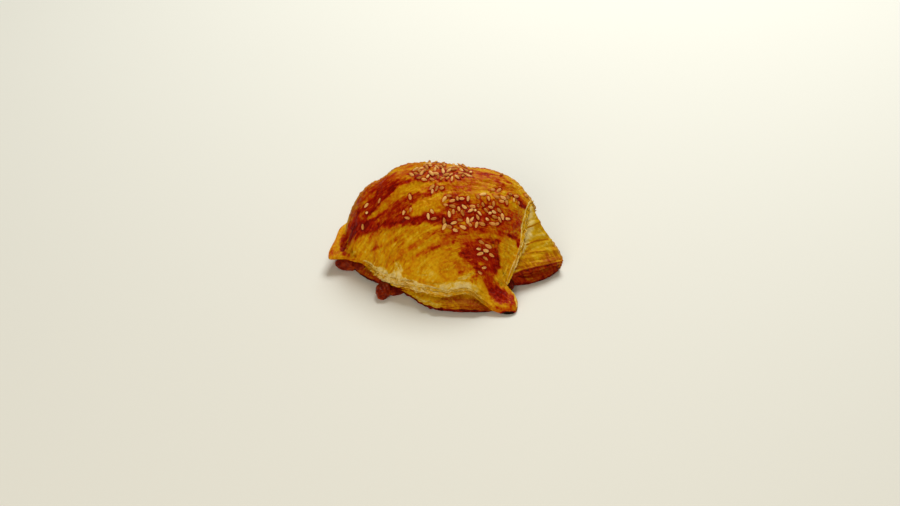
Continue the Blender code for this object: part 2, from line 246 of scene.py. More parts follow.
# Wing of the lower sheet: a tent over a ridge from under the dome to the right corner
WING_RIDGE = (
    (10, 6, 27),
    (29, 7.5, 30),
    (36.8, 4.2, 26.4),
    (41.6, 0.9, 18.6),
    (46.2, -2, 11.6),
    (50.7, -5.5, 5.9),
)
WING_FRONT = (
    (10, -22, 5),
    (23, -21.5, 6.8),
    (33, -17.2, 8.2),
    (42, -12.7, 7.6),
    (50.8, -7.1, 5.8),
)
WING_BACK = (
    (10, 30, 2),
    (28, 27, 2.6),
    (40.5, 18, 3.2),
    (47.8, 6.5, 4.8),
    (50.8, -4.1, 5.7),
)

# How far the wing's sides sag, the rise that is enough for it, and the tuck at its foot
WING_SAG = 1.2
WING_SAG_HEIGHT = 12
WING_TUCK = 1

# Layers that show on the wing: height, browning (paler on raised layers and darker in the
# dips, painted highlight and shade), broad and fine ones, crumbs
WING_RIDGE_HEIGHT = 0.45
WING_RIDGE_SHADE = 0.14
WING_RIDGES = ((1, (1.9, 9, 9), 3), (0.6, (0.9, 5, 5), 5))
WING_CRUMBS = (0.4, 1.3, 7)
WING_GRAIN_SLOPE = 0.22

# Side under the wing's front: rings, layers, browning at its foot and its top (paler at the
# foot, painted light thrown up from the ground), patches, relief and browning of the layers
# and of what makes them ragged
WING_SIDE_STEPS = 24
WING_SIDE_LAYERS = 3
WING_SIDE_BROWNING_AND_REFLECTION = (0.714, 0.874)
WING_SIDE_PATCHES = (0.16, (3.4, 3.4, 2.2), 12)
WING_SIDE_RAG = ((2.2, 2.2, 1.4), 9)
WING_SIDE_RELIEF = (0.7, 1.2)
WING_SIDE_TONES = (-0.05, 0.1)
WING_TIP = (44, 50)
WING_TIP_FADE = 0.12
WING_FOOT_BROWNING = 0.66

# Uneven swell of the crust
SWELLS = (0.9, 11, 0)

# Brushed folds run in arcs about a point of the card. Four kinds of relief, with their
# lengths and layers: folds and streaks along the arcs and two nets of wrinkles; then the
# height and the browning of each
FOLD_CENTRE = (10.9, -20.9)
FOLD_ARC = 35
FOLDS = ((3.4, 18, 18), 1)
STREAKS = ((1.2, 5.5, 4), 2)
BLISTERS = (2.6, 4)
CRINKLES = (1.6, 9)
KIND_HEIGHTS = (0.5, 0.32, 0.3, 0.26)
KIND_TONES = (0.07, 0.1, 0.06, -0.1)
EDGE_CALM = 1

# How a net of wrinkles is warped: strength, length and layers apart, as shares of its
# mesh size; strength and mesh size of the finer net in it; how it is turned
WRINKLE_WARP = (0.45, 1.7, 13)
FINE_NET = (0.45, 0.53)
WRINKLE_TURN = np.array(Euler((0.5, 0.7, 0.9)).to_matrix())

# How deep the crust sinks under thick glaze, and the browning where that starts and ends
GLAZE_DIP = 0.25
GLAZE_TONES = (0.62, 0.8)

# Browning of the crust: 0 is raw cream, 0.4 golden, 0.8 red-brown and 1 burnt
BASE_BROWNING = 0.42
BACK_BROWNING = 0.6
EDGE_BROWNING = 0.04
HIDDEN_BROWNING = 0.6
MOTTLE = (0.06, 5, 6)
BACK_PATCHES = (0.16, (16, 16, 7), 8)

# Most browning of the crust, and of the flecks on it
MOST_BROWNED = 0.89
DARKEST_FLECK = 0.9

# Where the unseen back starts and is reached along Y
CRUST_BACK = (5, 25)
LOWER_BACK = (10, 25)

# Burnt speck under the front corner: middle, half sizes and how softly it ends
BURNT_PLACE = (26, -37.8, 0.5)
BURNT_SIZE = (3.2, 2.6, 1.7)
BURNT_FADE = (0.7, 1.3)

# Outlines of the marks: what makes them ragged and how softly they end
MARK_SPOTS = (0.24, 2, 3)
MARK_FIBRES = (0.26, (0.9, 5, 5), 0)
MARK_SOFTNESS = (0.5, 1.5)

# Marks on the crust: browning, with painted shade and highlight where noted, then places on
# the card with the half width of the mark
CRUST_MARKS = {
    "left shoulder": (0.66, ((-40, 21, 4), (-36.5, 27, 4.5), (-28, 34.5, 4.5), (-20, 38, 3.5))),
    "crown": (0.58, ((-18, 39, 4), (-5, 40, 6.5), (8, 38, 6), (20, 36.5, 4))),
    "belt": (0.66, ((-1, 26, 3.3), (8, 22.5, 5.2), (17, 20.5, 6), (26, 19, 6), (32.5, 17, 3.6))),
    "belt left": (0.76, ((-8.5, 20.5, 1.8), (-4, 19, 2.5), (2.5, 18, 2.2))),
    "belt red": (0.76, ((5.5, 27, 1.8), (9, 25.5, 1.8))),
    "belt dark": (0.78, ((9.5, 19, 1.8), (16.5, 20, 1.4), (19, 16.5, 1.8))),
    "belt right": (0.62, ((27, 15, 2.2), (31, 18, 2.4))),
    "crown gold": (0.55, ((-9, 32.5, 1.5), (-1, 31.8, 1.9), (9.5, 33, 2.3),
        (19, 33, 2.3), (24, 32.5, 1.8))),
    "belt gold": (0.44, ((-5.5, 27, 1.4), (1, 29.5, 1.4))),
    "gold right": (0.64, ((25.5, 33, 1.8), (31, 29.5, 2.4), (34.5, 26, 2))),
    "brown top right": (0.7, ((9.5, 40, 2), (17, 38.5, 1.8), (24, 37.2, 1.6), (28.5, 34.5, 1.2))),
    "left strip": (0.46, ((-49, 4, 2.2), (-46, 10.5, 2.2), (-43.5, 16.5, 1.8))),
    "strip outline": (0.56, ((-50.5, 3, 0.4), (-48.5, 8, 0.4), (-46, 13.5, 0.4),
        (-44.5, 17.5, 0.6))),
    "strip foot": (0.54, ((-50, 2.5, 1), (-47, 4.5, 1.2))),
    "left groove": (0.8, ((-44.8, 5, 0.9), (-44.2, 8, 1.5), (-43.2, 11, 2.2), (-41.5, 14, 2.8))),
    "left glaze": (0.83, ((-42, 10.5, 2.4), (-40.5, 14, 3.8), (-37, 16.6, 4.6), (-32, 17.3, 4.8),
        (-27, 18.2, 4.1), (-20.5, 18.9, 3.2), (-13.5, 18.5, 2), (-7.5, 19.5, 1.5))),
    "second glaze": (0.82, ((-35.5, 20.5, 2.4), (-31.5, 24.8, 3.5), (-27.5, 29.5, 4),
        (-24, 32.3, 3.2), (-20.5, 34, 2.1), (-15.5, 35, 1.2))),
    "third glaze": (0.79, ((-25.5, 20.5, 1.8), (-21.5, 23, 3), (-18, 25, 3), (-15, 27, 2))),
    "third glaze tail": (0.7, ((-15, 27.5, 1.9), (-11.5, 28.5, 1.8), (-7, 29.5, 1.1))),
    "wedge": (0.8, ((-22, 20.5, 2.2), (-18.5, 21.5, 2.2))),
    "gold stripe": (0.5, ((-33.6, 18.9, 0.7), (-29.7, 21.9, 1.3), (-26.2, 25.3, 1.6),
        (-20.9, 29.3, 1.7), (-17.4, 32, 1.6))),
    "gold between": (0.48, ((-22, 28.5, 1.2), (-20, 31.5, 1.5), (-15.5, 33, 1.7),
        (-11, 33.5, 1.4))),
    "gold middle": (0.42, ((-14, 22, 1.8), (-9, 24.5, 2.5), (-4, 26.5, 2.5), (-0.5, 26.5, 2.2))),
    "shoulder dark": (0.86, ((33, 25.5, 1.6), (35.5, 24, 1.4))),
    "gold line": (0.47, ((-6.5, 12.5, 1.3), (2.5, 14.5, 1.1), (11.5, 16, 0.9))),
    "orange under it": (0.64, ((-1, 10.5, 1.5), (8, 12.5, 1.8), (16, 13.5, 1.8), (24, 13.5, 1.8))),
    "first streak": (0.57, ((-18.5, 4.5, 0.9), (-13, 7.5, 1.1), (-7.5, 11.5, 1.1),
        (-2, 13.5, 0.9))),
    "second streak": (0.58, ((-12, 3, 0.8), (-5.5, 6, 1.1), (2, 9, 1.2))),
    "third streak": (0.61, ((-6.5, 6, 1), (-1.5, 8, 1.3), (5, 9.5, 1.3), (11, 11.5, 1.2))),
    "fourth streak": (0.56, ((-22.5, 0.5, 0.7), (-18.5, 4, 0.9))),
    "fifth streak": (0.54, ((-33, 5, 0.6), (-27, 7, 0.7), (-21, 9.5, 0.7))),
    "red touch": (0.78, ((-6, 6, 0.5), (-2.5, 7, 0.5))),
    "orange by the patch": (0.6, ((8.5, 8, 2.3), (13.5, 9.5, 2.3))),
    "orange low": (0.55, ((2, -1, 1.6), (9, -1.5, 2), (13, -6, 1.4))),
    "patch": (0.76, ((10, 3.8, 2.8), (14.5, 3.5, 4), (20, 3.2, 4.6), (20.5, -1, 4.2),
        (19.5, -6, 3), (19.2, -10, 1.6))),
    "patch left": (0.83, ((6.5, 3.6, 1), (10, 3, 2.2), (13, 0, 1.8), (15, -4, 1.2))),
    "patch top": (0.72, ((10, 7.5, 1.2), (17, 9.2, 1.5), (23, 9, 1.4))),
    "patch dark": (0.85, ((22.8, 4, 1.4), (23.2, -0.5, 1.9), (21.5, -3.5, 1.6))),
    # A painted highlight on the low golden crust
    "gold low highlight": (0.33, ((-11, -5.2, 1.6), (-6, -6, 2.4), (-2, -6.3, 1.8))),
    "golden lobe": (0.41, ((26.5, 8.8, 1.8), (28.3, 5, 2.8), (26.8, -1.5, 2.5),
        (24.4, -7.5, 1.7))),
    "lobe dark": (0.82, ((28, 11.8, 1.1), (31.5, 10.5, 1.5), (32, 7, 0.8))),
    "corner": (0.75, ((22.5, -12.5, 3.2), (26, -14.8, 4), (28.8, -16.8, 3.2))),
    "corner gold": (0.42, ((15.5, -12.5, 1.6), (16.5, -15.5, 2), (18.5, -17.5, 1.6))),
    "corner foot": (0.66, ((18.5, -19.3, 0.7), (23, -20.3, 0.9), (29, -20.5, 1.2))),
    "front spot": (0.87, ((21.4, -12.6, 1.7), (23.2, -13.8, 3.1), (24.6, -15.6, 2.3))),
    "front rim": (0.14, ((-4.5, -11.6, 0.9), (0, -10.8, 1.4), (5, -10, 1.6), (10.5, -9.8, 1.4),
        (14, -12.5, 0.9))),
    "corner rim": (0.16, ((27, -8.8, 0.35), (29.8, -12.5, 0.45), (31, -17, 0.5),
        (31.6, -20, 0.5))),
    "lower left": (0.6, ((-43.5, 3.5, 1.3), (-40, 0.5, 1.1), (-36, -0.5, 0.8))),
    "pale spot": (0.18, ((-21, -0.5, 0.8), (-19.5, -2.5, 0.9), (-19, -3.5, 0.9))),
    "pale flake": (0.2, ((6, -7, 0.7), (9, -6.2, 0.9), (12, -4.6, 0.7))),
    "flake shadow": (0.62, ((6, -4.5, 0.4), (8.5, -3.8, 0.5))),
    # The slits are darkened: painted shade down in them
    "first slit": (0.8, ((-18, -9, 0.35), (-16.5, -8, 0.4))),
    "second slit": (0.84, ((-13.2, -9.2, 0.55), (-11, -10.2, 0.5), (-9.6, -11, 0.6))),
    "third slit": (0.66, ((-1.5, -12.2, 0.45), (1, -12.4, 0.4))),
}

# Creases of the crust: depth, then places on the card with the half width
CRUST_CREASES = {
    "left groove": (0.75, ((-44, 7.5, 1.3), (-42.8, 11.5, 1.7), (-40, 17.5, 1.6))),
    "front fold": (0.5, ((-22.5, 0.5, 0.7), (-13, 6.5, 0.8), (-2, 12.5, 0.7))),
    "second fold": (0.4, ((-12, 1.5, 0.6), (-4, 5.5, 0.7), (4, 8.5, 0.6))),
    "glaze edge": (0.45, ((-38, 12.5, 0.6), (-30, 14, 0.7), (-20, 15.5, 0.7), (-8, 17, 0.6))),
    "patch fold": (0.4, ((8, 1, 0.6), (12, 6, 0.7), (22, 8.5, 0.7))),
    "lobe fold": (0.6, ((24, 8, 0.8), (24.6, 0, 0.9), (21.8, -9, 0.8))),
    "first slit": (1, ((-18, -9, 0.35), (-16.5, -8, 0.4))),
    "second slit": (1.1, ((-13, -9.6, 0.4), (-10.5, -10.6, 0.5))),
    "third slit": (0.9, ((-1.5, -12.2, 0.45), (1, -12.4, 0.4))),
    "strip crease": (0.35, ((-48.5, 4.5, 0.5), (-46.5, 9.5, 0.5), (-44.5, 14.5, 0.5))),
}

# Lifted flakes on the crust: browning, how far the free side lifts, then places on the
# card with the half width
CRUST_FLAKES = {
    "pale flake": (0.16, 0.7, ((5.5, -7.3, 0.5), (8.5, -6.4, 0.8), (12, -4.6, 0.5))),
    "small flake": (0.22, 0.5, ((-12, -5.6, 0.4), (-9.5, -5.2, 0.5), (-7.5, -5.6, 0.4))),
    "slit flake": (0.18, 0.7, ((-18.5, -9.6, 0.5), (-16, -8.3, 0.7), (-13.5, -8.4, 0.5))),
    "gold flake": (0.3, 0.5, ((-3, -3.5, 0.4), (2, -2.6, 0.6), (5, -0.5, 0.4))),
    "low flake": (0.2, 0.6, ((-9, -8.5, 0.4), (-4, -9.2, 0.7), (1, -8.6, 0.5))),
    "left flake": (0.24, 0.6, ((-21.5, 1, 0.4), (-20, -1, 0.7), (-19.5, -3.5, 0.5))),
    "lobe flake": (0.26, 0.5, ((24.5, -6.5, 0.4), (26, -4, 0.6), (27.5, -1, 0.4))),
}

# Marks on the lower sheet
LOWER_MARKS = {
    "wing gold": (0.35, ((37, 14, 4), (43, 8, 5))),
    "wing cream": (0.05, ((36.2, 25, 2.2), (36, 18, 3), (34.8, 10, 2.4), (33.6, 5, 1.4))),
    "wing corner": (0.54, ((43, 1.5, 1.8), (47.5, 3, 2.6), (50.5, 2.5, 2.6))),
    "wing foot": (0.52, ((31.5, 0, 1.5), (38, 0.5, 1.8))),
    "wing outline": (0.62, ((41.5, 18.5, 0.9), (46, 11.5, 0.9), (50.5, 5, 1.2))),
    # Pale ridge lines on the wing are painted highlights, and the dark valley lines between them
    # painted shade
    "wing ridge highlight one": (0.24, ((33.5, 17, 0.4), (37.5, 18.5, 0.5), (40.5, 20.5, 0.4))),
    "wing ridge highlight two": (0.22, ((36, 9.5, 0.4), (39.5, 11.5, 0.5), (43.5, 12, 0.4))),
    "wing ridge highlight three": (0.28, ((38, 5.5, 0.4), (43.5, 7.5, 0.5), (47.5, 8, 0.4))),
    "wing valley shade one": (0.56, ((34.5, 14.5, 0.3), (38.5, 16, 0.4), (41.5, 17.5, 0.3))),
    "wing valley shade two": (0.58, ((35.5, 7.5, 0.3), (40, 9.3, 0.4), (45, 10, 0.3))),
    "wing valley shade three": (0.54, ((33, 3, 0.3), (39, 4.3, 0.4), (44, 4.8, 0.3))),
    "wing rim": (0.62, ((30.5, -2.5, 0.8), (36.2, -1.8, 0.9), (43, -0.4, 0.9), (50, 2, 0.9))),
    "layer by the wing": (0.81, ((31.5, -7.8, 1.5), (35, -7, 1.8), (40, -5.4, 1.7),
        (44.5, -3.8, 1.5), (48.5, -1.8, 1))),
    # A painted highlight on the side under the wing
    "wing side highlight": (0.62, ((35.8, -7.2, 0.4), (37, -7.5, 0.8), (38.4, -7.1, 0.4))),
    "front patch": (0.66, ((1, -15.5, 1.1), (6, -16, 1.7), (13, -17.5, 1.8))),
    "front red": (0.78, ((-1, -14.5, 0.8), (0.5, -14.8, 0.8))),
}
LOWER_BROWNING = 0.4
LOWER_SPOTS = ((0.1, (3, 3, 0.8), 2), (0.06, (7, 7, 3), 5))

# Browning of the slab's side along X at the front, partly baked and partly painted shade
# where the side lies under the upper sheet's overhang: places and values
SLAB_SIDE_BROWNING_AND_SHADE = (
    (-38.5, 0.88), (-36, 0.69), (-31, 0.71), (-27.5, 0.86), (-19, 0.86),
    (-15, 0.54), (-8, 0.44), (0, 0.54), (12, 0.63), (20, 0.72), (26, 0.84),
    (31, 0.88), (36, 0.8), (44, 0.82), (51, 0.86),
)

# Where the front of the slab starts along -Y, how far the side's browning runs in over
# the top, browning of the side's lines, of the rough ones and of their raggedness, each
# darker where the side is set in, as painted shade in its grooves
SLAB_FRONT = (-8, 4)
SIDE_FADE = 4
SLAB_LINE_SHADE = 0.05
ROUGH_SLAB_LINE_SHADE = 0.22
SLAB_RAG_SHADE = 0.1

# Dark line at the slab's foot, partly baked browning and partly painted contact shade where
# it meets the ground: browning, and the shares of the height, less than none, between which
# it comes in
FOOT_BROWNING_AND_SHADE = 0.96
FOOT_SHARES = (-0.6, -0.42)

# Set juice: middle, half sizes and turn in degrees of each lump
JUICE_LUMPS = (
    ((-42.2, -5.4, 2.9), (5.2, 2.8, 3.1), -8),
    ((-36.4, -8.4, 3.4), (2.8, 1.9, 1.8), -24),
    ((-25.4, -23.6, 2.2), (3.5, 5.2, 3), -14),
    ((-20.6, -22.9, 1.7), (5.4, 2.3, 2.1), 20),
    ((26.8, -20.4, 2.9), (2.2, 3.2, 2.8), 15),
)

# Tone of each lump from dark to pale, and how much darker its top is than its bottom,
# whose paler tone is painted light showing through the juice
JUICE_TONES = (0.56, 0.56, 0.62, 0.5, 0.34)
LUMP_PAINTED_GLOW = 0.22

# Roughness of the lumps, coarse to fine: depth, tone (paler where a lump bulges out, a
# painted highlight on its bumps), fineness and the side of the noise; then how often a
# lump's faces are split
LUMP_ROUGHNESS = ((0.03, 0, 1.7, 1), (0.11, 0.3, 2.6, -1), (0.05, 0.14, 6, 1))
LUMP_FINENESS = 6

# Sesame seeds: size, how deep they sit, how far apart, the direction most of them share
# and how strongly, how far and how seldom they lean, in degrees, how sizes vary, and the
# tries for each patch
SEED_LENGTH = 3
SEED_WIDTH = 1.42
SEED_THICKNESS = 1.05
SEED_SINK = 0.28
SEED_SPACING = 1.75
SEED_DIRECTION = -50
SEED_COMBING = 0.65
SEED_LEAN = 44
SEED_CALM = 3
SEED_SIZES = (0.82, 1.08)
SEED_TRIES = 400

# Points round a seed and along it, and how its girth narrows from back to front
SEED_SIDES = 12
SEED_RINGS = 9
SEED_GIRTH = (1.18, 0.45)

# How toasted the seeds are, and the darkening round each, partly pooled glaze and partly
# painted shade where the seed meets the crust: where it ends, its browning, how far it is
# looked for and how brown it makes the crust at most
TOASTING = (0.05, 0.95)
SEED_HALO = (0.7, 1.35)
HALO_GLAZE_AND_SHADE = 0.22
HALO_REACH = 3.6
MOST_GLAZED_AND_SHADED = 0.84

# Starts of the chance for places, poses and toasting of the seeds, and for the flakes
PLACE_CHANCE = 7
POSE_CHANCE = 11
TOAST_CHANCE = 5
FLAKE_CHANCE = 23

# Patches of seeds seen from above: middle, half sizes, turn in degrees, seeds in it
SEED_PATCHES = (
    ((-1.8, 6), (13.2, 6), 0, 38),
    ((-1, 14.5), (12.5, 4), 0, 12),
    ((-3.5, -3.4), (2.8, 1.4), 0, 4),
    ((13, -12.6), (14.5, 3.9), 17, 36),
    ((22.5, -3), (9.8, 3.4), 26, 15),
    ((5, -9.5), (6.5, 3), -8, 8),
    ((-4.5, -12.5), (2.6, 1.8), 0, 3),
    ((16.3, -23.5), (3.6, 5.2), -12, 9),
    ((-33.8, -1), (1.4, 3.6), 0, 3),
    ((-27.3, 0), (1, 1), 0, 1),
    ((-15.6, -3), (2.2, 10.5), 0, 4),
    ((24.8, 11.5), (0.5, 0.5), 0, 1),
    ((34.9, 6.6), (0.4, 0.4), 0, 1),
)

# Flakes: points across one, how deep its fixed side sits, its thickness, how much paler
# its free side and how much browner its underside is
FLAKE_COLUMNS = 7
FLAKE_SINK = 0.15
FLAKE_THICKNESS = 0.12
FLAKE_FADE = 0.1
FLAKE_UNDERSIDE = 0.08

# Narrowest share of a flake's width, and its raggedness
CRUST_FLAKE_LOOK = (0.02, (0.4, 0.9, 3))
EDGE_FLAKE_LOOK = (0.03, (0.5, 0.6, 5))

# Flakes that stick out of the cut: number, how open the cut is there, bare rings at its
# foot, limits of half length in columns, half width, climb in degrees, lift and browning
EDGE_FLAKES = 190
FLAKE_OPENNESS = 0.25
BARE_RINGS = 2
EDGE_FLAKE_COLUMNS = (3, 8)
EDGE_FLAKE_WIDTH = (0.35, 1.05)
EDGE_FLAKE_CLIMB = (-35, 60)
EDGE_FLAKE_LIFT = (-0.25, 0.35)
EDGE_FLAKE_TONE = (0.02, 0.3)

# Fineness of the pieces, how rings crowd to the edge, how corners are worn away inside
# it, and steps of a curve for each of its stations, in space and on the card
COLUMNS = 640
UPPER_RINGS = 104
SLAB_RINGS = 12
SLAB_SIDE_RINGS = 26
WING_STEPS = 190
WING_RISE_STEPS = 90
RING_CROWDING = 1.6
CORNER_WEAR = COLUMNS // 16
CORNER_PULL = 4
CURVE_STEPS = 80
LINE_STEPS = 6

# A length too short to divide by, and a distance farther than any that matters
NEARLY_NONE = 1e-9
FAR = 9.0

# Mirror shine: its strength on all but the juice, and its tint
SHEEN = 0.05
SHINE_TINT = (1, 0.82, 0.5, 1)

# Fine look of the pastry: stretch of the streaks, scale and detail of the mottle and the
# specks, stretch of the lines and scale of their patches, and what the five add to the
# browning, less their middle, and to the height, whose depth is in metres. The dark lines
# are sunk and painted darker as shade, the pale ones raised and painted paler as highlights
FINE_STREAKS = (1.1, 0.3, 0.34)
FINE_MOTTLE = (650, 4, 0.6)
FINE_SPECKS = (2600, 2)
SHADE_LINES = ((0.5, 0.12, 0.16), 140)
HIGHLIGHT_LINES = ((0.72, 0.17, 0.2), 190)
FINE_TONES = (0.22, 0.2, 0.1, 0.13, -0.13)
FINE_MIDDLE = 0.26
FINE_HEIGHTS = (0.7, 0.6, 0.25, -0.3, 0.3)
FINE_DEPTH = 0.00028

# Lines: detail, half width, and where a patch of them starts and is full
LINE_DETAIL = 2
LINE_WIDTH = 0.09
LINE_PATCHES = (0.42, 0.58)

# Browning from and to, and the roughness at each
PASTRY_ROUGHNESS = (0.15, 0.85, 0.55, 0.36)

# Look of the juice and of the seeds: scales of the mottle and the fine grain, spread of
# the tone, limits of the roughness, depth of the grain in metres, shine
GRAIN_RANGE = (0.3, 0.7)
JUICE_LOOK = ((320, 1500), 0.24, (0.16, 0.34), 0.0001, 0.1)
SEED_LOOK = ((900, 900), 0.22, (0.35, 0.55), 0.00008, SHEEN)

# Colours of the crust from raw to burnt, in screen values
CRUST_COLOURS = (
    (0, (232, 206, 132)),
    (0.15, (222, 184, 74)),
    (0.3, (216, 166, 16)),
    (0.45, (204, 137, 3)),
    (0.56, (192, 110, 2)),
    (0.65, (182, 76, 1)),
    (0.74, (166, 40, 1)),
    (0.84, (148, 15, 1)),
    (0.93, (96, 8, 3)),
    (1, (22, 12, 9)),
)
SEED_COLOURS = ((0, (176, 108, 38)), (0.5, (216, 150, 74)), (1, (240, 194, 118)))
JUICE_COLOURS = ((0, (64, 4, 2)), (0.35, (92, 10, 3)), (0.7, (128, 34, 5)), (1, (164, 66, 10)))
LOWER_COLOURS = (
    (0, (230, 206, 134)),
    (0.15, (218, 186, 84)),
    (0.3, (206, 162, 16)),
    (0.45, (198, 138, 4)),
    (0.58, (172, 100, 6)),
    (0.7, (156, 68, 4)),
    (0.82, (148, 34, 4)),
    (0.92, (108, 10, 3)),
    (1, (22, 12, 9)),
)

# Floor: colour, roughness, reach and the signs of its corners
FLOOR_COLOUR = (231, 230, 221)
FLOOR_ROUGHNESS = 0.5
FLOOR_REACH = 3000
SQUARE = ((-1, -1), (1, -1), (1, 1), (-1, 1))

# Light all round, and lamps: name, place and size in metres, power, colour
WORLD_COLOUR = (1, 0.86, 0.64, 1)
WORLD_STRENGTH = 0.2
LIGHTS = (
    ("overhead", (0.18, 0.56, 0.77), 0.46, 8.6, (0.97, 1, 1)),
    ("window", (-0.22, -0.93, 0.45), 0.55, 5.2, (1, 0.92, 0.8)),
)


def catmull_rom(before, start, end, after, share):
    """A smooth step from start to end that also heeds the neighbours on both sides."""
    return 0.5 * (
        2 * start
        + (end - before) * share
        + (2 * before - 5 * start + 4 * end - after) * share**2
        + (3 * start - before - 3 * end + after) * share**3
    )


def closed_curve(stations, count):
    """Evenly spaced points on a smooth closed curve through all the stations."""
    knots = np.array(stations)
    share = np.arange(CURVE_STEPS)[None, :, None] / CURVE_STEPS
    neighbours = (np.roll(knots, -step, axis=0)[:, None] for step in (-1, 0, 1, 2))
    curve = catmull_rom(*neighbours, share).reshape(-1, knots.shape[1])
    loop = np.vstack([curve, curve[:1]])
    steps = np.linalg.norm(np.diff(loop[:, :2], axis=0), axis=1)
    travelled = np.concatenate([[0.0], np.cumsum(steps)])
    wanted = np.linspace(0.0, travelled[-1], count, endpoint=False)
    return np.stack([np.interp(wanted, travelled, column) for column in loop.T], axis=1)


def open_curve(stations, count):
    """Points on a smooth curve from the first station to the last."""
    knots = np.array(stations, dtype=float)
    ends = (2 * knots[0] - knots[1], 2 * knots[-1] - knots[-2])
    padded = np.vstack([ends[0], knots, ends[1]])
    place = np.linspace(0.0, len(knots) - 1, count)
    start = np.minimum(place.astype(int), len(knots) - 2)
    neighbours = (padded[start + step] for step in range(4))
    return catmull_rom(*neighbours, (place - start)[:, None])


def smooth_max(first, second, softness=1.0):
    """The larger of two heights, with the corner between them rounded off."""
    gap = np.abs(first - second)
    return np.maximum(first, second) + np.exp(-gap / softness) * softness * 0.5


def smooth_step(value, low, high):
    """0 up to the low value and 1 from the high one, with a soft change between them."""
    share = np.clip((value - low) / (high - low), 0.0, 1.0)
    return share * share * (3.0 - 2.0 * share)


def waves(points, lengths, layer):
    """A value between about -1 and 1 at each point, which turns over these lengths."""
    scaled = points.reshape(-1, points.shape[-1]) / np.array(lengths)
    if scaled.shape[1] == 2:
        scaled = np.column_stack([scaled, np.zeros(len(scaled))])
    scaled[:, 2] += layer
    values = [noise.noise(point) for point in scaled.tolist()]
    return np.array(values).reshape(points.shape[:-1])


def uneven(points, *kinds, apart=0.0):
    """The sum of several kinds of unevenness at each point, their layers moved apart."""
    return sum(
        strength * waves(points, lengths, layer + apart) for strength, lengths, layer in kinds
    )


def wrinkles(points, length, layer):
    """Values from -0.5 up, with sharp valleys in an uneven net of this mesh size."""
    strength, stretch, apart = WRINKLE_WARP
    warp = [waves(points, length * stretch, layer + apart * axis) for axis in range(3)]
    warped = points + strength * length * np.stack(warp, axis=-1)
    net = waves(warped @ WRINKLE_TURN, length, layer)
    net += FINE_NET[0] * waves(warped, length * FINE_NET[1], layer)
    return 2.0 * np.abs(net) - 0.5


def rib_value(angle, column):
    """One value of the dome's ribs at an angle in radians, smooth all the way round."""
    values = np.array([rib[column] for rib in DOME_RIBS])
    place = (angle + np.pi) / (2 * np.pi) * len(values)
    start = np.floor(place).astype(int)
    neighbours = (values[(start + step) % len(values)] for step in (-1, 0, 1, 2))
    return catmull_rom(*neighbours, place - start)


def shoulder_dip(places):
    """How much lower the dome lies at each place because of the dip by its shoulder."""
    distance = step_distance(places, *np.array(DIP_ENDS))[0]
    return DIP_DEPTH * np.exp(-((distance / DIP_WIDTH) ** 2))


def dome_height(places):
    """Height of the dome at each place seen from above."""
    away = places - CROWN
    angle = np.arctan2(away[:, 1], away[:, 0])
    reach, foot, flatness, fullness = (rib_value(angle, column) for column in range(4))
    share = np.linalg.norm(away, axis=1) / reach
    inside = np.clip(1.0 - share**flatness, 0.0, None)
    return foot + (CROWN_HEIGHT - foot) * inside**fullness - shoulder_dip(places)


def rounded(outline):
    """The same closed curve with its corners worn away, so that rings inside it are even."""
    offsets = range(-CORNER_WEAR, CORNER_WEAR + 1)
    return sum(np.roll(outline, offset, axis=0) for offset in offsets) / len(offsets)


def inner_ring(edge, share):
    """Places this share of the way from the crown to the edge, and how far inside it."""
    outline = edge[:, :2]
    even = rounded(outline)
    places = CROWN + (even - CROWN) * share + (outline - even) * share**CORNER_PULL
    return places, np.linalg.norm(outline - places, axis=1)


def set_in(edge, distance, height):
    """A ring that keeps this distance inside an edge, at a height of its own."""
    out = edge[:, :2] - CROWN
    out /= np.linalg.norm(out, axis=1)[:, None]
    return np.column_stack([edge[:, :2] - out * np.reshape(distance, (-1, 1)), height])


def crowded_shares(count):
    """Shares from the crown to the edge, closer together towards the edge."""
    return [1.0 - (1.0 - number / count) ** RING_CROWDING for number in range(1, count + 1)]


def grid_normals(rings):
    """Outward normals of a grid of rings that run anticlockwise from the top down."""
    along = np.roll(rings, -1, axis=1) - np.roll(rings, 1, axis=1)
    normals = np.cross(np.gradient(rings, axis=0), along)
    return normals / np.maximum(np.linalg.norm(normals, axis=2, keepdims=True), NEARLY_NONE)


def grain(points):
    """Places across and along the arcs of the brushed folds, and away from the eye."""
    sideways = points @ CARD_RIGHT - FOLD_CENTRE[0]
    upward = points @ CARD_UP - FOLD_CENTRE[1]
    along = np.arctan2(sideways, upward) * FOLD_ARC
    return np.stack([np.hypot(sideways, upward), along, points @ CARD_AWAY], axis=-1)


def grid_faces(rings, start):
    """Faces of a closed grid of rings, whose two middle points follow the rings' points."""
    count, columns = rings.shape[:2]
    corners = start + np.arange(count * columns).reshape(count, columns)
    beside = np.roll(corners, -1, axis=1)
    quads = np.stack([corners[:-1], corners[1:], beside[1:], beside[:-1]], axis=-1)
    first, last = start + count * columns, start + count * columns + 1
    top = [(first, here, there) for here, there in zip(corners[0].tolist(), beside[0].tolist())]
    foot = [(last, there, here) for here, there in zip(corners[-1].tolist(), beside[-1].tolist())]
    return quads.reshape(-1, 4).tolist() + top + foot


def joined_grids(grids):
    """Points and faces of several closed grids, each closed by a middle point at both ends."""
    points, faces = [], []
    for rings in grids:
        faces += grid_faces(rings, sum(len(group) for group in points))
        points.append(rings.reshape(-1, 3))
        points.append(np.array([rings[0].mean(axis=0), rings[-1].mean(axis=0)]))
    return np.concatenate(points), faces


def surface_of(*grids):
    """A search tree over grids of rings, to find where rays meet them."""
    points, faces = joined_grids(grids)
    return BVHTree.FromPolygons(points.tolist(), faces)


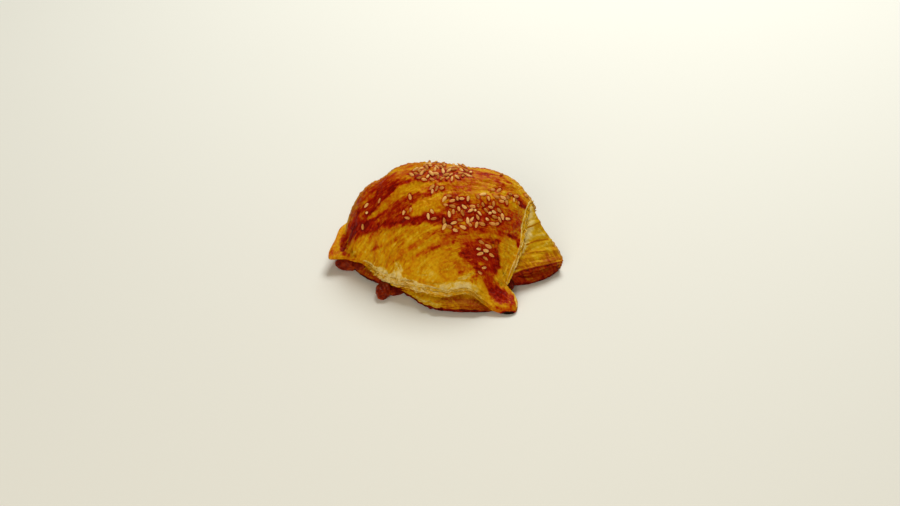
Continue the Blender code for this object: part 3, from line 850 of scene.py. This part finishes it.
def drawn_line(card_points, surface):
    """Close places on the surface under a line on the card, each with its half width."""
    found = []
    for across, up, width in open_curve(card_points, LINE_STEPS * len(card_points)):
        target = CARD_RIGHT * across + CARD_UP * up
        hit = surface.ray_cast(Vector(EYE), Vector(target - EYE))[0]
        if hit is not None:
            found.append((*hit, width))
    return np.array(found)


def step_distance(points, start, end):
    """How far each point is from the line between two ends, and where along it."""
    step = end - start
    along = np.clip((points - start) @ step / max(step @ step, NEARLY_NONE), 0.0, 1.0)
    return np.linalg.norm(points - start - along[:, None] * step, axis=1), along


def line_distance(points, line):
    """How far each point is from a drawn line, as a share of the line's half width."""
    nearest = np.full(len(points), FAR)
    for start, end in zip(line[:-1], line[1:]):
        distance, along = step_distance(points, start[:3], end[:3])
        nearest = np.minimum(nearest, distance / (start[3] + along * (end[3] - start[3])))
    return nearest


def painted(browning, points, marks, surface):
    """Browning with all the marks laid over it in turn, their outlines made uneven."""
    ragged = uneven(points, MARK_SPOTS) + uneven(grain(points), MARK_FIBRES)
    for tone, card_points in marks.values():
        distance = line_distance(points, drawn_line(card_points, surface))
        cover = 1.0 - smooth_step(distance + ragged, *MARK_SOFTNESS)
        browning = browning + (tone - browning) * cover
    return browning


def creased(points, creases, surface):
    """How deep each point lies because of the creases."""
    depth = np.zeros(len(points))
    for most, card_points in creases.values():
        distance = line_distance(points, drawn_line(card_points, surface))
        depth = np.maximum(depth, most * np.exp(-distance**2))
    return depth


def openness(edge):
    """How far the cut opens into leaves at each place of the edge, from 0 to 1."""
    return np.clip((edge[:, 3] - FOLDED_THICKNESS) / LEAF_OPENING, 0.0, 1.0)


def crust_top_rings(edge):
    """Rings of the crust from the crown to its edge, and how far inside the edge they lie."""
    edge_top, slope = edge[:, 2], edge[:, 4]
    rings, insides = [], []
    for share in crowded_shares(UPPER_RINGS):
        places, inside = inner_ring(edge, share)
        rim = edge_top + slope * np.minimum(inside, RIM_REACH)
        height = smooth_max(dome_height(places), rim) + uneven(places, SWELLS)
        settled = 1.0 - np.exp(-inside / RIM_SOFTNESS)
        rings.append(np.column_stack([places, edge_top + (height - edge_top) * settled]))
        insides.append(inside)
    return np.array(rings), np.array(insides)


def raw_rim(edge, inside):
    """How much of the unbrowned rim covers each point of the crust's top, from 0 to 1."""
    cut, flat = openness(edge), edge[:, :2]
    share = np.clip(RIM_BREAK + uneven(flat, RIM_BREAKS), 0.0, 1.0) + uneven(flat, RIM_RAG)
    width = RIM_WIDTH[0] + (RIM_WIDTH[1] - RIM_WIDTH[0]) * np.clip(share, 0.0, 1.0)
    width *= cut * (1.0 - RIM_LOSS * smooth_step(edge[:, 2], *SIDE_CUT_HEIGHTS))
    for middle, half_length in RIM_GLAZED:
        glazed = np.exp(-(((edge[:, 0] - middle) / half_length) ** 2)) * (edge[:, 1] < 0.0)
        width *= 1.0 - RIM_LOSS * glazed
    raw = 1.0 - smooth_step(inside / np.maximum(width, LEAST_WIDTH), *RIM_FADE)
    return (raw * (cut > LEAST_CUT)).reshape(-1)


def leaf_rings(edge, ruffle):
    """Rings down the cut edge, leaf by leaf, with a gap under each, and their tones."""
    cut, flat, edge_top, thickness = openness(edge), edge[:, :2], edge[:, 2], edge[:, 3]
    rings, tones = [], []
    for leaf in range(LEAVES):
        apart = LEAVES_APART * leaf
        rag = cut * uneven(flat, *LEAF_RAGS, apart=apart)
        wave = cut * uneven(flat, LEAF_WAVES, apart=apart)
        gap = cut * (LEAF_GAP + uneven(flat, LEAF_GAPS, apart=apart))
        spots = uneven(flat, LEAF_SPOTS, apart=SPOTS_APART * leaf)
        for height_share, lip, in_gap in LEAF_LINES:
            down = (leaf + height_share * LEAF_SHARE) / LEAVES
            depth = np.interp(down, *zip(*EDGE_PROFILE)) * cut + lip * LIP_DEPTH + gap * in_gap
            depth += rag * min(1.0, TOP_RAG + down * RAG_GROWTH)
            height = edge_top + ruffle * (1.0 - down) - thickness * down
            height += wave * (TOP_WAVE + (1.0 - TOP_WAVE) * down)
            lowest = LEAF_STACKING * (1 + LEAVES - leaf)
            rings.append(set_in(edge, depth, np.maximum(height, lowest)))
            # Leaves are darker down in their gaps: painted shade
            tones.append(GAP_SHADE * in_gap + LIP_TONE * lip + spots)
    return np.array(rings), np.array(tones)


def crust_grid():
    """The crust's rings, from its crown over the cut to its hidden core, and their tones."""
    edge = closed_curve(UPPER_EDGE, COLUMNS)
    top, inside = crust_top_rings(edge)
    surface, points = surface_of(top), top.reshape(-1, 3)
    arcs = grain(points)
    kinds = [waves(arcs, *FOLDS), waves(arcs, *STREAKS)]
    kinds += [wrinkles(points, *BLISTERS), wrinkles(points, *CRINKLES)]
    calm = 1.0 - np.exp(-inside.reshape(-1) / EDGE_CALM)
    relief = sum(height * kind for height, kind in zip(KIND_HEIGHTS, kinds)) * calm
    relief -= creased(points, CRUST_CREASES, surface)

    behind = smooth_step(points[:, 1], *CRUST_BACK)
    browning = BASE_BROWNING + (BACK_BROWNING - BASE_BROWNING) * behind
    browning += behind * uneven(points, BACK_PATCHES)
    browning = painted(browning, points, CRUST_MARKS, surface)
    relief -= GLAZE_DIP * smooth_step(browning, *GLAZE_TONES) * calm
    browning += sum(tone * kind for tone, kind in zip(KIND_TONES, kinds))
    browning = np.minimum(browning + uneven(points, MOTTLE), MOST_BROWNED)

    raw = raw_rim(edge, inside)
    browning += (EDGE_BROWNING + uneven(points, RAW_SPOTS) - browning) * raw
    ruffle = openness(edge) * uneven(edge[:, :2], *RUFFLES)
    relief += (np.exp(-inside / RUFFLE_REACH) * ruffle).reshape(-1)
    relief += raw * uneven(points, RAW_CRUMBS)
    top = top + grid_normals(top) * relief.reshape(inside.shape)[..., None]

    leaves, leaf_tones = leaf_rings(edge, ruffle)
    leaf_tones += FOLDED_BROWNING + (EDGE_BROWNING - FOLDED_BROWNING) * openness(edge)
    leaf_tones += SIDE_CUT_BROWNING * smooth_step(edge[:, 2], *SIDE_CUT_HEIGHTS)
    from_tip = np.linalg.norm((leaves - BURNT_PLACE) / BURNT_SIZE, axis=2)
    leaf_tones += (1.0 - leaf_tones) * (1.0 - smooth_step(from_tip, *BURNT_FADE))
    low = np.maximum(leaves[-1, :, 2] - UNDERSIDE_DROP, CLEARANCE)
    core = np.column_stack([inner_ring(edge, CORE_SHARE)[0], np.full(COLUMNS, CORE_FLOOR)])
    hidden_rings = [set_in(edge, UNDERSIDE_DEPTH, low), core]
    hidden_tones = np.full((len(hidden_rings), COLUMNS), HIDDEN_BROWNING)
    tones = np.concatenate([browning.reshape(inside.shape), leaf_tones, hidden_tones])
    return np.concatenate([top, leaves, hidden_rings]), tones


def slab_grid():
    """The slab's rings from its top down the layered side to the foot, and their tones."""
    edge = closed_curve(LOWER_EDGE, COLUMNS)
    flat, edge_top = edge[:, :2], edge[:, 2]
    front = smooth_step(-edge[:, 1], *SLAB_FRONT)
    middle, inner, outer, gap_depth = ROUGH_LEAVES
    rough = front * (1.0 - smooth_step(np.abs(edge[:, 0] - middle), inner, outer))
    # Darker where the slab's side lies under the upper sheet: partly baked browning, partly
    # painted shade
    side = np.interp(edge[:, 0], *zip(*SLAB_SIDE_BROWNING_AND_SHADE))
    side = BACK_BROWNING + (side - BACK_BROWNING) * front
    rings, tones = [], []
    for share in crowded_shares(SLAB_RINGS):
        places, inside = inner_ring(edge, share)
        height = np.minimum(edge_top + SLAB_SLOPE * inside, SLAB_CAP)
        rings.append(np.column_stack([places, height]))
        tones.append(LOWER_BROWNING + (side - LOWER_BROWNING) * np.exp(-inside / SIDE_FADE))
    for step in range(1, SLAB_SIDE_RINGS + 1):
        share = 1.0 - step / SLAB_SIDE_RINGS
        layer = share * SLAB_LEAVES
        rag = waves(flat, SLAB_RAG_LENGTH, SLAB_LEAVES_APART * round(layer))
        dip = math.cos(layer * math.tau)
        lines = (SLAB_LEAF_DEPTH + gap_depth * rough) * (dip + SLAB_RAG_DEPTH * rag)
        lines *= min(1.0, share / SLAB_FOOT_SHARE)
        set_back = np.interp(share, *zip(*SLAB_PROFILE))
        rings.append(set_in(edge, set_back + lines, edge_top * share))
        # The side is darker where its lines and rags set it in: painted shade in the grooves
        tone = side + (SLAB_LINE_SHADE + ROUGH_SLAB_LINE_SHADE * rough) * dip + SLAB_RAG_SHADE * rag
        # The front of the side darkens towards its foot: partly baked browning, partly painted
        # contact shade
        foot = front * smooth_step(-share, *FOOT_SHARES)
        tones.append(tone + (FOOT_BROWNING_AND_SHADE - tone) * foot)
    return np.array(rings), np.array(tones)


def wing_grid():
    """Rings across the wing: up its front side, over the ridge and down its back, then
    under it and up the layered side below its front. With them come their tones."""
    curves = (open_curve(line, WING_STEPS) for line in (WING_FRONT, WING_RIDGE, WING_BACK))
    share = np.linspace(0.0, 1.0, WING_RISE_STEPS + 1)[:, None]
    side_share = np.linspace(0.0, 1.0, WING_SIDE_STEPS + 1)[:-1, None]
    rings = []
    for front, ridge, back in zip(*curves):
        rise = min(1.0, (ridge[2] - front[2]) / WING_SAG_HEIGHT)
        sag = np.sin(share * np.pi) * WING_SAG * rise
        up = front + (ridge - front) * share
        down = ridge + (back - ridge) * share
        up[:, 2:] -= sag
        down[:, 2:] += sag
        under_back = (back[0] - WING_TUCK, back[1] - WING_TUCK, WING_TUCK)
        under_front = np.array((front[0] - WING_TUCK, front[1] + WING_TUCK, WING_TUCK))
        side = under_front + (front - under_front) * side_share
        rings.append(np.vstack([up, down[1:], under_back, side]))
    rings = np.array(rings)
    upward = rings @ CARD_UP - WING_GRAIN_SLOPE * rings[..., 0]
    fibres = np.stack([upward, rings @ CARD_RIGHT, rings @ CARD_AWAY], axis=-1)
    ridges = uneven(fibres, *WING_RIDGES) + uneven(rings, WING_CRUMBS)
    # Raised layers on the wing are paler and dips darker: painted highlight and shade
    tones = LOWER_BROWNING - WING_RIDGE_SHADE * ridges
    side, climb = rings[:, -WING_SIDE_STEPS:], side_share[:, 0]
    layers = np.cos(climb * WING_SIDE_LAYERS * math.tau)
    rag = waves(side, *WING_SIDE_RAG)
    ridges[:, -WING_SIDE_STEPS:] = WING_SIDE_RELIEF[0] * layers + WING_SIDE_RELIEF[1] * rag
    # Paler towards the foot of the side: painted light thrown up from the ground
    side_tones = WING_SIDE_BROWNING_AND_REFLECTION[0] + (WING_SIDE_BROWNING_AND_REFLECTION[1] - WING_SIDE_BROWNING_AND_REFLECTION[0]) * climb
    side_tones = side_tones + WING_SIDE_TONES[0] * layers + WING_SIDE_TONES[1] * rag
    side_tones += uneven(side, WING_SIDE_PATCHES)
    side_tones -= WING_TIP_FADE * smooth_step(side[..., 0], *WING_TIP)
    tones[:, -WING_SIDE_STEPS:] = side_tones
    tones[:, 0] = WING_FOOT_BROWNING
    return rings + grid_normals(rings) * (WING_RIDGE_HEIGHT * ridges)[..., None], tones


def lower_tones(points, tones, surface):
    """Browning of the lower sheet, with its marks."""
    browning = tones + uneven(points, *LOWER_SPOTS)
    browning += (BACK_BROWNING - browning) * smooth_step(points[:, 1], *LOWER_BACK)
    return painted(browning, points, LOWER_MARKS, surface)


def blade(path, sideways, normals, half_width, look, lift, tone):
    """A thin curved flake along a path, sunk on one side and lifted on the other. It is
    narrow at both ends of its path and ragged between them."""
    narrowest, rag = look
    share = np.linspace(0.0, 1.0, len(path))
    taper = np.sqrt(np.clip(4.0 * share * (1.0 - share), narrowest, 1.0))
    half_width = half_width * taper * (1.0 + uneven(path, rag))
    share = np.linspace(-1.0, 1.0, FLAKE_COLUMNS)
    rise = lift * taper[:, None] * ((share + 1.0) / 2.0) ** 2 - FLAKE_SINK * (1.0 - share) / 2.0
    offset = sideways[:, None] * (half_width[:, None] * share)[..., None]
    upper = path[:, None] + offset + normals[:, None] * rise[..., None]
    lower = upper - normals[:, None] * FLAKE_THICKNESS
    tones = tone + FLAKE_FADE * (1.0 - share)
    tones = np.concatenate([tones, tones[::-1] + FLAKE_UNDERSIDE])
    return np.concatenate([upper, lower[:, ::-1]], axis=1), np.tile(tones, (len(path), 1))


def crust_flakes(surface):
    """The flakes drawn on the crust, each as its rings and their tones."""
    made = []
    for tone, lift, card_points in CRUST_FLAKES.values():
        line = drawn_line(card_points, surface)
        path = line[:, :3]
        normals = np.array([surface.find_nearest(Vector(point))[1] for point in path])
        sideways = np.cross(np.gradient(path, axis=0), normals)
        sideways /= np.linalg.norm(sideways, axis=1)[:, None]
        made.append(blade(path, sideways, normals, line[:, 3], CRUST_FLAKE_LOOK, lift, tone))
    return made


def edge_flakes(leaves):
    """Torn flakes that stick out of the cut, each along a part of one leaf."""
    chance = random.Random(FLAKE_CHANCE)
    cut = openness(closed_curve(UPPER_EDGE, COLUMNS))
    open_places = np.flatnonzero(cut > FLAKE_OPENNESS).tolist()
    made = []
    for _ in range(EDGE_FLAKES):
        middle = chance.choice(open_places)
        half = chance.randint(*EDGE_FLAKE_COLUMNS)
        ring = leaves[chance.randrange(len(leaves) - BARE_RINGS)]
        path = ring[np.arange(middle - half, middle + half + 1) % COLUMNS]
        out = path - (*CROWN, 0.0)
        out[:, 2] = 0.0
        out /= np.linalg.norm(out, axis=1)[:, None]
        climb = math.radians(chance.uniform(*EDGE_FLAKE_CLIMB))
        sideways = out * math.cos(climb)
        sideways[:, 2] += math.sin(climb)
        normals = -out * math.sin(climb)
        normals[:, 2] += math.cos(climb)
        draws = (EDGE_FLAKE_WIDTH, EDGE_FLAKE_LIFT, EDGE_FLAKE_TONE)
        width, lift, tone = (chance.uniform(*limits) for limits in draws)
        rings, tones = blade(path, sideways, normals, width, EDGE_FLAKE_LOOK, lift, tone)
        rings[..., 2] = np.maximum(rings[..., 2], CLEARANCE)
        made.append((rings, tones))
    return made


def linked(name, data):
    """A new object in the scene."""
    made = bpy.data.objects.new(name, data)
    bpy.context.scene.collection.objects.link(made)
    return made


def mesh_of(name, points, faces, **attributes):
    """A mesh of points in millimetres, with values or vectors at each of them."""
    mesh = bpy.data.meshes.new(name)
    mesh.from_pydata((np.array(points) * MM).tolist(), [], faces)
    for key, values in attributes.items():
        values = np.array(values, dtype=np.float32)
        kind, field = ("FLOAT", "value") if values.ndim == 1 else ("FLOAT_VECTOR", "vector")
        made = mesh.attributes.new(key, kind, "POINT")
        made.data.foreach_set(field, values.reshape(-1))
    return mesh


def finished_object(name, mesh, material):
    """An object for a mesh, smooth, with all its faces turned out, riding the body."""
    shape = bmesh.new()
    shape.from_mesh(mesh)
    bmesh.ops.recalc_face_normals(shape, faces=shape.faces)
    shape.to_mesh(mesh)
    shape.free()
    mesh.shade_smooth()
    mesh.materials.append(material)
    piece = linked(name, mesh)
    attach(piece, "root")
    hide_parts("samsa")


def pastry_object(name, pairs, material):
    """One object of several closed grids, from pairs of rings and their tones."""
    grids, tones = zip(*pairs)
    points, faces = joined_grids(grids)
    points = np.clip(points, *(np.array(cad_box) / MM))
    values = []
    for tone in tones:
        values += [tone.reshape(-1), [tone[0].mean(), tone[-1].mean()]]
    looks = {"browning": np.concatenate(values), "grain": grain(points)}
    finished_object(name, mesh_of(name, points, faces, **looks), material)


def juice_mesh():
    """Rough rounded lumps of set juice, cut off flat where they meet the ground."""
    shape = bmesh.new()
    layer = shape.verts.layers.float.new("tone")
    for (middle, half_sizes, turn), tone in zip(JUICE_LUMPS, JUICE_TONES):
        middle = Vector(middle)
        made = bmesh.ops.create_icosphere(shape, subdivisions=LUMP_FINENESS, radius=1.0)
        for vertex in made["verts"]:
            place = vertex.co.copy()
            # Paler towards the bottom: painted light showing through the juice
            value, roughness = tone * (1.0 - LUMP_PAINTED_GLOW * place.z), 1.0
            for depth, bulge_highlight, fineness, side in LUMP_ROUGHNESS:
                bumps = noise.noise(place * fineness + side * middle)
                # Where the lump bulges out it is paler: a painted highlight
                value += bulge_highlight * bumps
                roughness += depth * bumps
            vertex[layer] = value
            place = Vector(a * b * roughness for a, b in zip(place, half_sizes))
            place.rotate(Euler((0.0, 0.0, math.radians(turn))))
            place += middle
            place.z = max(place.z, 0.0)
            vertex.co = place * MM
    mesh = bpy.data.meshes.new("set_juice")
    shape.to_mesh(mesh)
    shape.free()
    return mesh


def seed_places():
    """Places of the seeds from above, a little apart, patch by patch."""
    chance = random.Random(PLACE_CHANCE)
    places = []
    for middle, half_sizes, turn, wanted in SEED_PATCHES:
        found = 0
        for _ in range(SEED_TRIES):
            angle = chance.uniform(0.0, math.tau)
            radius = math.sqrt(chance.random())
            offset = Vector((half_sizes[0] * math.cos(angle), half_sizes[1] * math.sin(angle)))
            offset.rotate(Matrix.Rotation(math.radians(turn), 2))
            place = Vector(middle) + offset * radius
            if found < wanted and all((place - other).length > SEED_SPACING for other in places):
                places.append(place)
                found += 1
    return places


def seed_profile():
    """Rings of one drop-shaped seed along X, from its round back to its pointed front."""
    share = np.linspace(0.0, 1.0, SEED_RINGS + 2)
    girth = np.sqrt(np.sin(share * np.pi)) * (SEED_GIRTH[0] - SEED_GIRTH[1] * share)
    turn = np.linspace(0.0, math.tau, SEED_SIDES, endpoint=False)
    rings = np.zeros((len(share), SEED_SIDES, 3))
    rings[..., 0] = ((share - 0.5) * SEED_LENGTH)[:, None]
    rings[..., 1] = np.outer(girth, np.cos(turn)) * SEED_WIDTH / 2
    rings[..., 2] = np.outer(girth, np.sin(turn)) * SEED_THICKNESS / 2
    return rings[1:-1], rings[0].mean(axis=0), rings[-1].mean(axis=0)


def seeds_on(surface):
    """The sesame in one piece, each seed lying along the crust at an angle of its own,
    and the two ends of each seed's foot."""
    chance, toasting = random.Random(POSE_CHANCE), random.Random(TOAST_CHANCE)
    rings, *ends = seed_profile()
    points, faces, tones, spots = [], [], [], []
    for place in seed_places():
        above = Vector((*place, CROWN_HEIGHT * 2))
        hit, normal = surface.ray_cast(above, Vector((0.0, 0.0, -1.0)))[:2]
        turn = chance.uniform(0.0, math.tau)
        turn -= SEED_COMBING / 2 * math.sin(2 * (turn - math.radians(SEED_DIRECTION)))
        lean = math.radians(SEED_LEAN * chance.uniform(-1.0, 1.0) ** SEED_CALM)
        pose = normal.to_track_quat("Z", "Y").to_matrix().to_4x4()
        pose @= Matrix.Rotation(turn, 4, "Z") @ Matrix.Rotation(lean, 4, "Y")
        pose @= Matrix.Scale(chance.uniform(*SEED_SIZES), 4)
        rise = normal * SEED_THICKNESS * (0.5 - SEED_SINK)
        pose = Matrix.Translation(hit + rise) @ pose
        faces += grid_faces(rings, len(points))
        points += [pose @ Vector(point) for point in (*rings.reshape(-1, 3), *ends)]
        tones += [toasting.uniform(*TOASTING)] * (len(points) - len(tones))
        spots.append([np.array(point - rise) for point in points[-2:]])
    return mesh_of("sesame", points, faces, tone=tones), spots


def seed_glaze_and_shade(points, spots):
    """How much pooled glaze and painted shade darken each point round the seeds, from 0 to 1."""
    nearest = np.full(len(points), FAR)
    for start, end in spots:
        near = np.abs(points - (start + end) / 2).max(axis=1) < HALO_REACH
        nearest[near] = np.minimum(nearest[near], step_distance(points[near], start, end)[0])
    return 1.0 - smooth_step(nearest, *SEED_HALO)


def screen_colour(red, green, blue):
    """A colour for a shader from screen values between 0 and 255."""
    values = np.array([red, green, blue]) / 255
    linear = np.where(values <= 0.04045, values / 12.92, ((values + 0.055) / 1.055) ** 2.4)
    return (*linear, 1.0)


class Nodes:
    """Shorthand for building one material's nodes."""

    def __init__(self, name, sheen=SHEEN):
        self.material = bpy.data.materials.new(name)
        self.material.use_nodes = True
        self.tree = self.material.node_tree
        self.shader = self.tree.nodes["Principled BSDF"]
        self.set(self.shader, "Specular IOR Level", sheen)
        self.set(self.shader, "Specular Tint", SHINE_TINT)

    def add(self, kind, **inputs):
        node = self.tree.nodes.new(kind)
        for key, value in inputs.items():
            self.set(node, key, value)
        return node

    def set(self, node, key, value):
        socket = node.inputs[int(key[1:]) if key[0] == "_" else key.replace("_", " ")]
        if isinstance(value, bpy.types.NodeSocket):
            self.tree.links.new(value, socket)
        else:
            socket.default_value = value

    def attribute(self, name, output):
        node = self.add("ShaderNodeAttribute")
        node.attribute_name = name
        return node.outputs[output]

    def place(self):
        return self.add("ShaderNodeTexCoord").outputs["Object"]

    def noise(self, vector, scale, detail=3.0, roughness=0.5):
        looks = {"Vector": vector, "Scale": scale, "Detail": detail, "Roughness": roughness}
        return self.add("ShaderNodeTexNoise", **looks).outputs["Fac"]

    def stretched_noise(self, vector, scales, detail=3.0):
        node = self.add("ShaderNodeMapping", Vector=vector, Scale=scales)
        return self.noise(node.outputs["Vector"], 1.0, detail)

    def math(self, operation, first, second, third=0.0):
        node = self.add("ShaderNodeMath", _0=first, _1=second, _2=third)
        node.operation = operation
        return node.outputs[0]

    def weighted(self, total, parts, strengths):
        """The total with each part added to it in its own strength."""
        for part, strength in zip(parts, strengths):
            total = self.math("MULTIPLY_ADD", part, strength, total)
        return total

    def ranged(self, value, low, high, low_to, high_to):
        node = self.add("ShaderNodeMapRange", _0=value, _1=low, _2=high, _3=low_to, _4=high_to)
        return node.outputs[0]

    def ramp(self, value, colours):
        node = self.add("ShaderNodeValToRGB", Fac=value)
        stops = node.color_ramp.elements
        while len(stops) < len(colours):
            stops.new(0.5)
        for stop, (place, colour) in zip(stops, colours):
            stop.position = place
            stop.color = screen_colour(*colour)
        return node.outputs["Color"]

    def fine_lines(self, arcs, scales, patchiness):
        """Thin lines along the arcs, in patches: 1 on a line and 0 beside it."""
        fibres = self.stretched_noise(arcs, scales, LINE_DETAIL)
        away = self.math("ABSOLUTE", self.math("SUBTRACT", fibres, 0.5), 0.0)
        line = self.ranged(away, 0.0, LINE_WIDTH, 1.0, 0.0)
        patches = self.noise(self.place(), patchiness, LINE_DETAIL)
        return self.math("MULTIPLY", line, self.ranged(patches, *LINE_PATCHES, 0.0, 1.0))

    def dressed(self, colour, roughness, height, depth):
        """The material with this colour and roughness, and bumps of this height."""
        bump = self.add("ShaderNodeBump", Strength=1.0, Distance=depth, Height=height)
        values = {"Base Color": colour, "Roughness": roughness, "Normal": bump.outputs["Normal"]}
        for key, value in values.items():
            self.set(self.shader, key, value)
        return self.material


def pastry_material(name, colours):
    """Glazed flaky pastry, whose colour and gloss follow its browning."""
    nodes = Nodes(name)
    browning = nodes.attribute("browning", "Fac")
    arcs = nodes.attribute("grain", "Vector")
    parts = (
        nodes.stretched_noise(arcs, FINE_STREAKS),
        nodes.noise(nodes.place(), *FINE_MOTTLE),
        nodes.noise(nodes.place(), *FINE_SPECKS),
        # Dark lines sunk into the crust as painted shade, pale lines raised on it as painted
        # highlights
        nodes.fine_lines(arcs, *SHADE_LINES),
        nodes.fine_lines(arcs, *HIGHLIGHT_LINES),
    )
    tone = nodes.weighted(nodes.math("SUBTRACT", browning, FINE_MIDDLE), parts, FINE_TONES)
    tone = nodes.math("MINIMUM", tone, nodes.math("MAXIMUM", browning, DARKEST_FLECK))
    roughness = nodes.ranged(browning, *PASTRY_ROUGHNESS)
    height = nodes.weighted(0.0, parts, FINE_HEIGHTS)
    return nodes.dressed(nodes.ramp(tone, colours), roughness, height, FINE_DEPTH)


def grained_material(name, colours, scales, spread, roughness, depth, sheen):
    """A material whose colour follows its tone, made uneven by one grain, and whose
    gloss and bumps follow another."""
    nodes = Nodes(name, sheen)
    mottle, fine = (nodes.noise(nodes.place(), scale) for scale in scales)
    varied = nodes.ranged(mottle, *GRAIN_RANGE, -spread, spread)
    colour = nodes.ramp(nodes.math("ADD", nodes.attribute("tone", "Fac"), varied), colours)
    return nodes.dressed(colour, nodes.ranged(fine, *GRAIN_RANGE, *roughness), fine, depth)


def add_floor():
    """The plain pale floor."""
    corners = [(FLOOR_REACH * x, FLOOR_REACH * y, 0.0) for x, y in SQUARE]
    floor = linked("floor", mesh_of("floor", corners, [range(len(corners))]))
    nodes = Nodes("pale_floor")
    nodes.set(nodes.shader, "Base Color", screen_colour(*FLOOR_COLOUR))
    nodes.set(nodes.shader, "Roughness", FLOOR_ROUGHNESS)
    floor.data.materials.append(nodes.material)


def add_light(name, place, size, power, colour):
    """A soft square light that shines at the samsa."""
    data = bpy.data.lights.new(name, "AREA")
    data.size = size
    data.energy = power
    data.color = colour
    light = linked(name, data)
    light.location = place
    light.rotation_euler = (-Vector(place)).to_track_quat("-Z", "Y").to_euler()


def add_camera():
    """The camera at the photo's viewing angle."""
    data = bpy.data.cameras.new("camera")
    data.lens = LENS
    camera = linked("camera", data)
    camera.location = Vector(EYE) * MM
    camera.rotation_euler = (math.radians(90.0 - LOOK_DOWN), 0.0, 0.0)
    bpy.context.scene.camera = camera


def add_surroundings():
    """The light, the floor and the camera."""
    world = bpy.data.worlds.new("studio")
    world.use_nodes = True
    background = world.node_tree.nodes["Background"]
    background.inputs["Color"].default_value = WORLD_COLOUR
    background.inputs["Strength"].default_value = WORLD_STRENGTH
    bpy.context.scene.world = world
    bpy.context.scene.view_settings.view_transform = "Standard"
    for light in LIGHTS:
        add_light(*light)
    add_floor()
    add_camera()


def main():
    rings, tones = crust_grid()
    top = rings[:UPPER_RINGS]
    surface = surface_of(top)
    sesame, spots = seeds_on(surface)
    # The crust round each seed is darkened: partly pooled glaze, partly painted shade where the
    # seed meets it
    glaze_and_shade = seed_glaze_and_shade(top.reshape(-1, 3), spots).reshape(UPPER_RINGS, COLUMNS)
    glazed = np.minimum(tones[:UPPER_RINGS] + HALO_GLAZE_AND_SHADE * glaze_and_shade, MOST_GLAZED_AND_SHADED)
    tones[:UPPER_RINGS] = np.maximum(tones[:UPPER_RINGS], glazed)
    glaze = pastry_material("glazed_pastry", CRUST_COLOURS)
    pastry_object("crust", [(rings, tones)], glaze)

    (slab, slab_tones), (wing, wing_tones) = slab_grid(), wing_grid()
    under = surface_of(slab, wing)
    pairs = []
    for grid, tone in ((slab, slab_tones), (wing, wing_tones)):
        browned = lower_tones(grid.reshape(-1, 3), tone.reshape(-1), under)
        pairs.append((grid, browned.reshape(tone.shape)))
    pairs[1][1][:, -WING_SIDE_STEPS:] = wing_tones[:, -WING_SIDE_STEPS:]
    pastry_object("lower_sheet", pairs, pastry_material("lower_pastry", LOWER_COLOURS))

    leaves = rings[UPPER_RINGS:UPPER_RINGS + len(LEAF_LINES) * LEAVES]
    pastry_object("flakes", crust_flakes(surface) + edge_flakes(leaves), glaze)
    juice_look = grained_material("set_juice", JUICE_COLOURS, *JUICE_LOOK)
    finished_object("set_juice", juice_mesh(), juice_look)
    seed_look = grained_material("toasted_sesame", SEED_COLOURS, *SEED_LOOK)
    finished_object("sesame", sesame, seed_look)
    add_surroundings()


main()
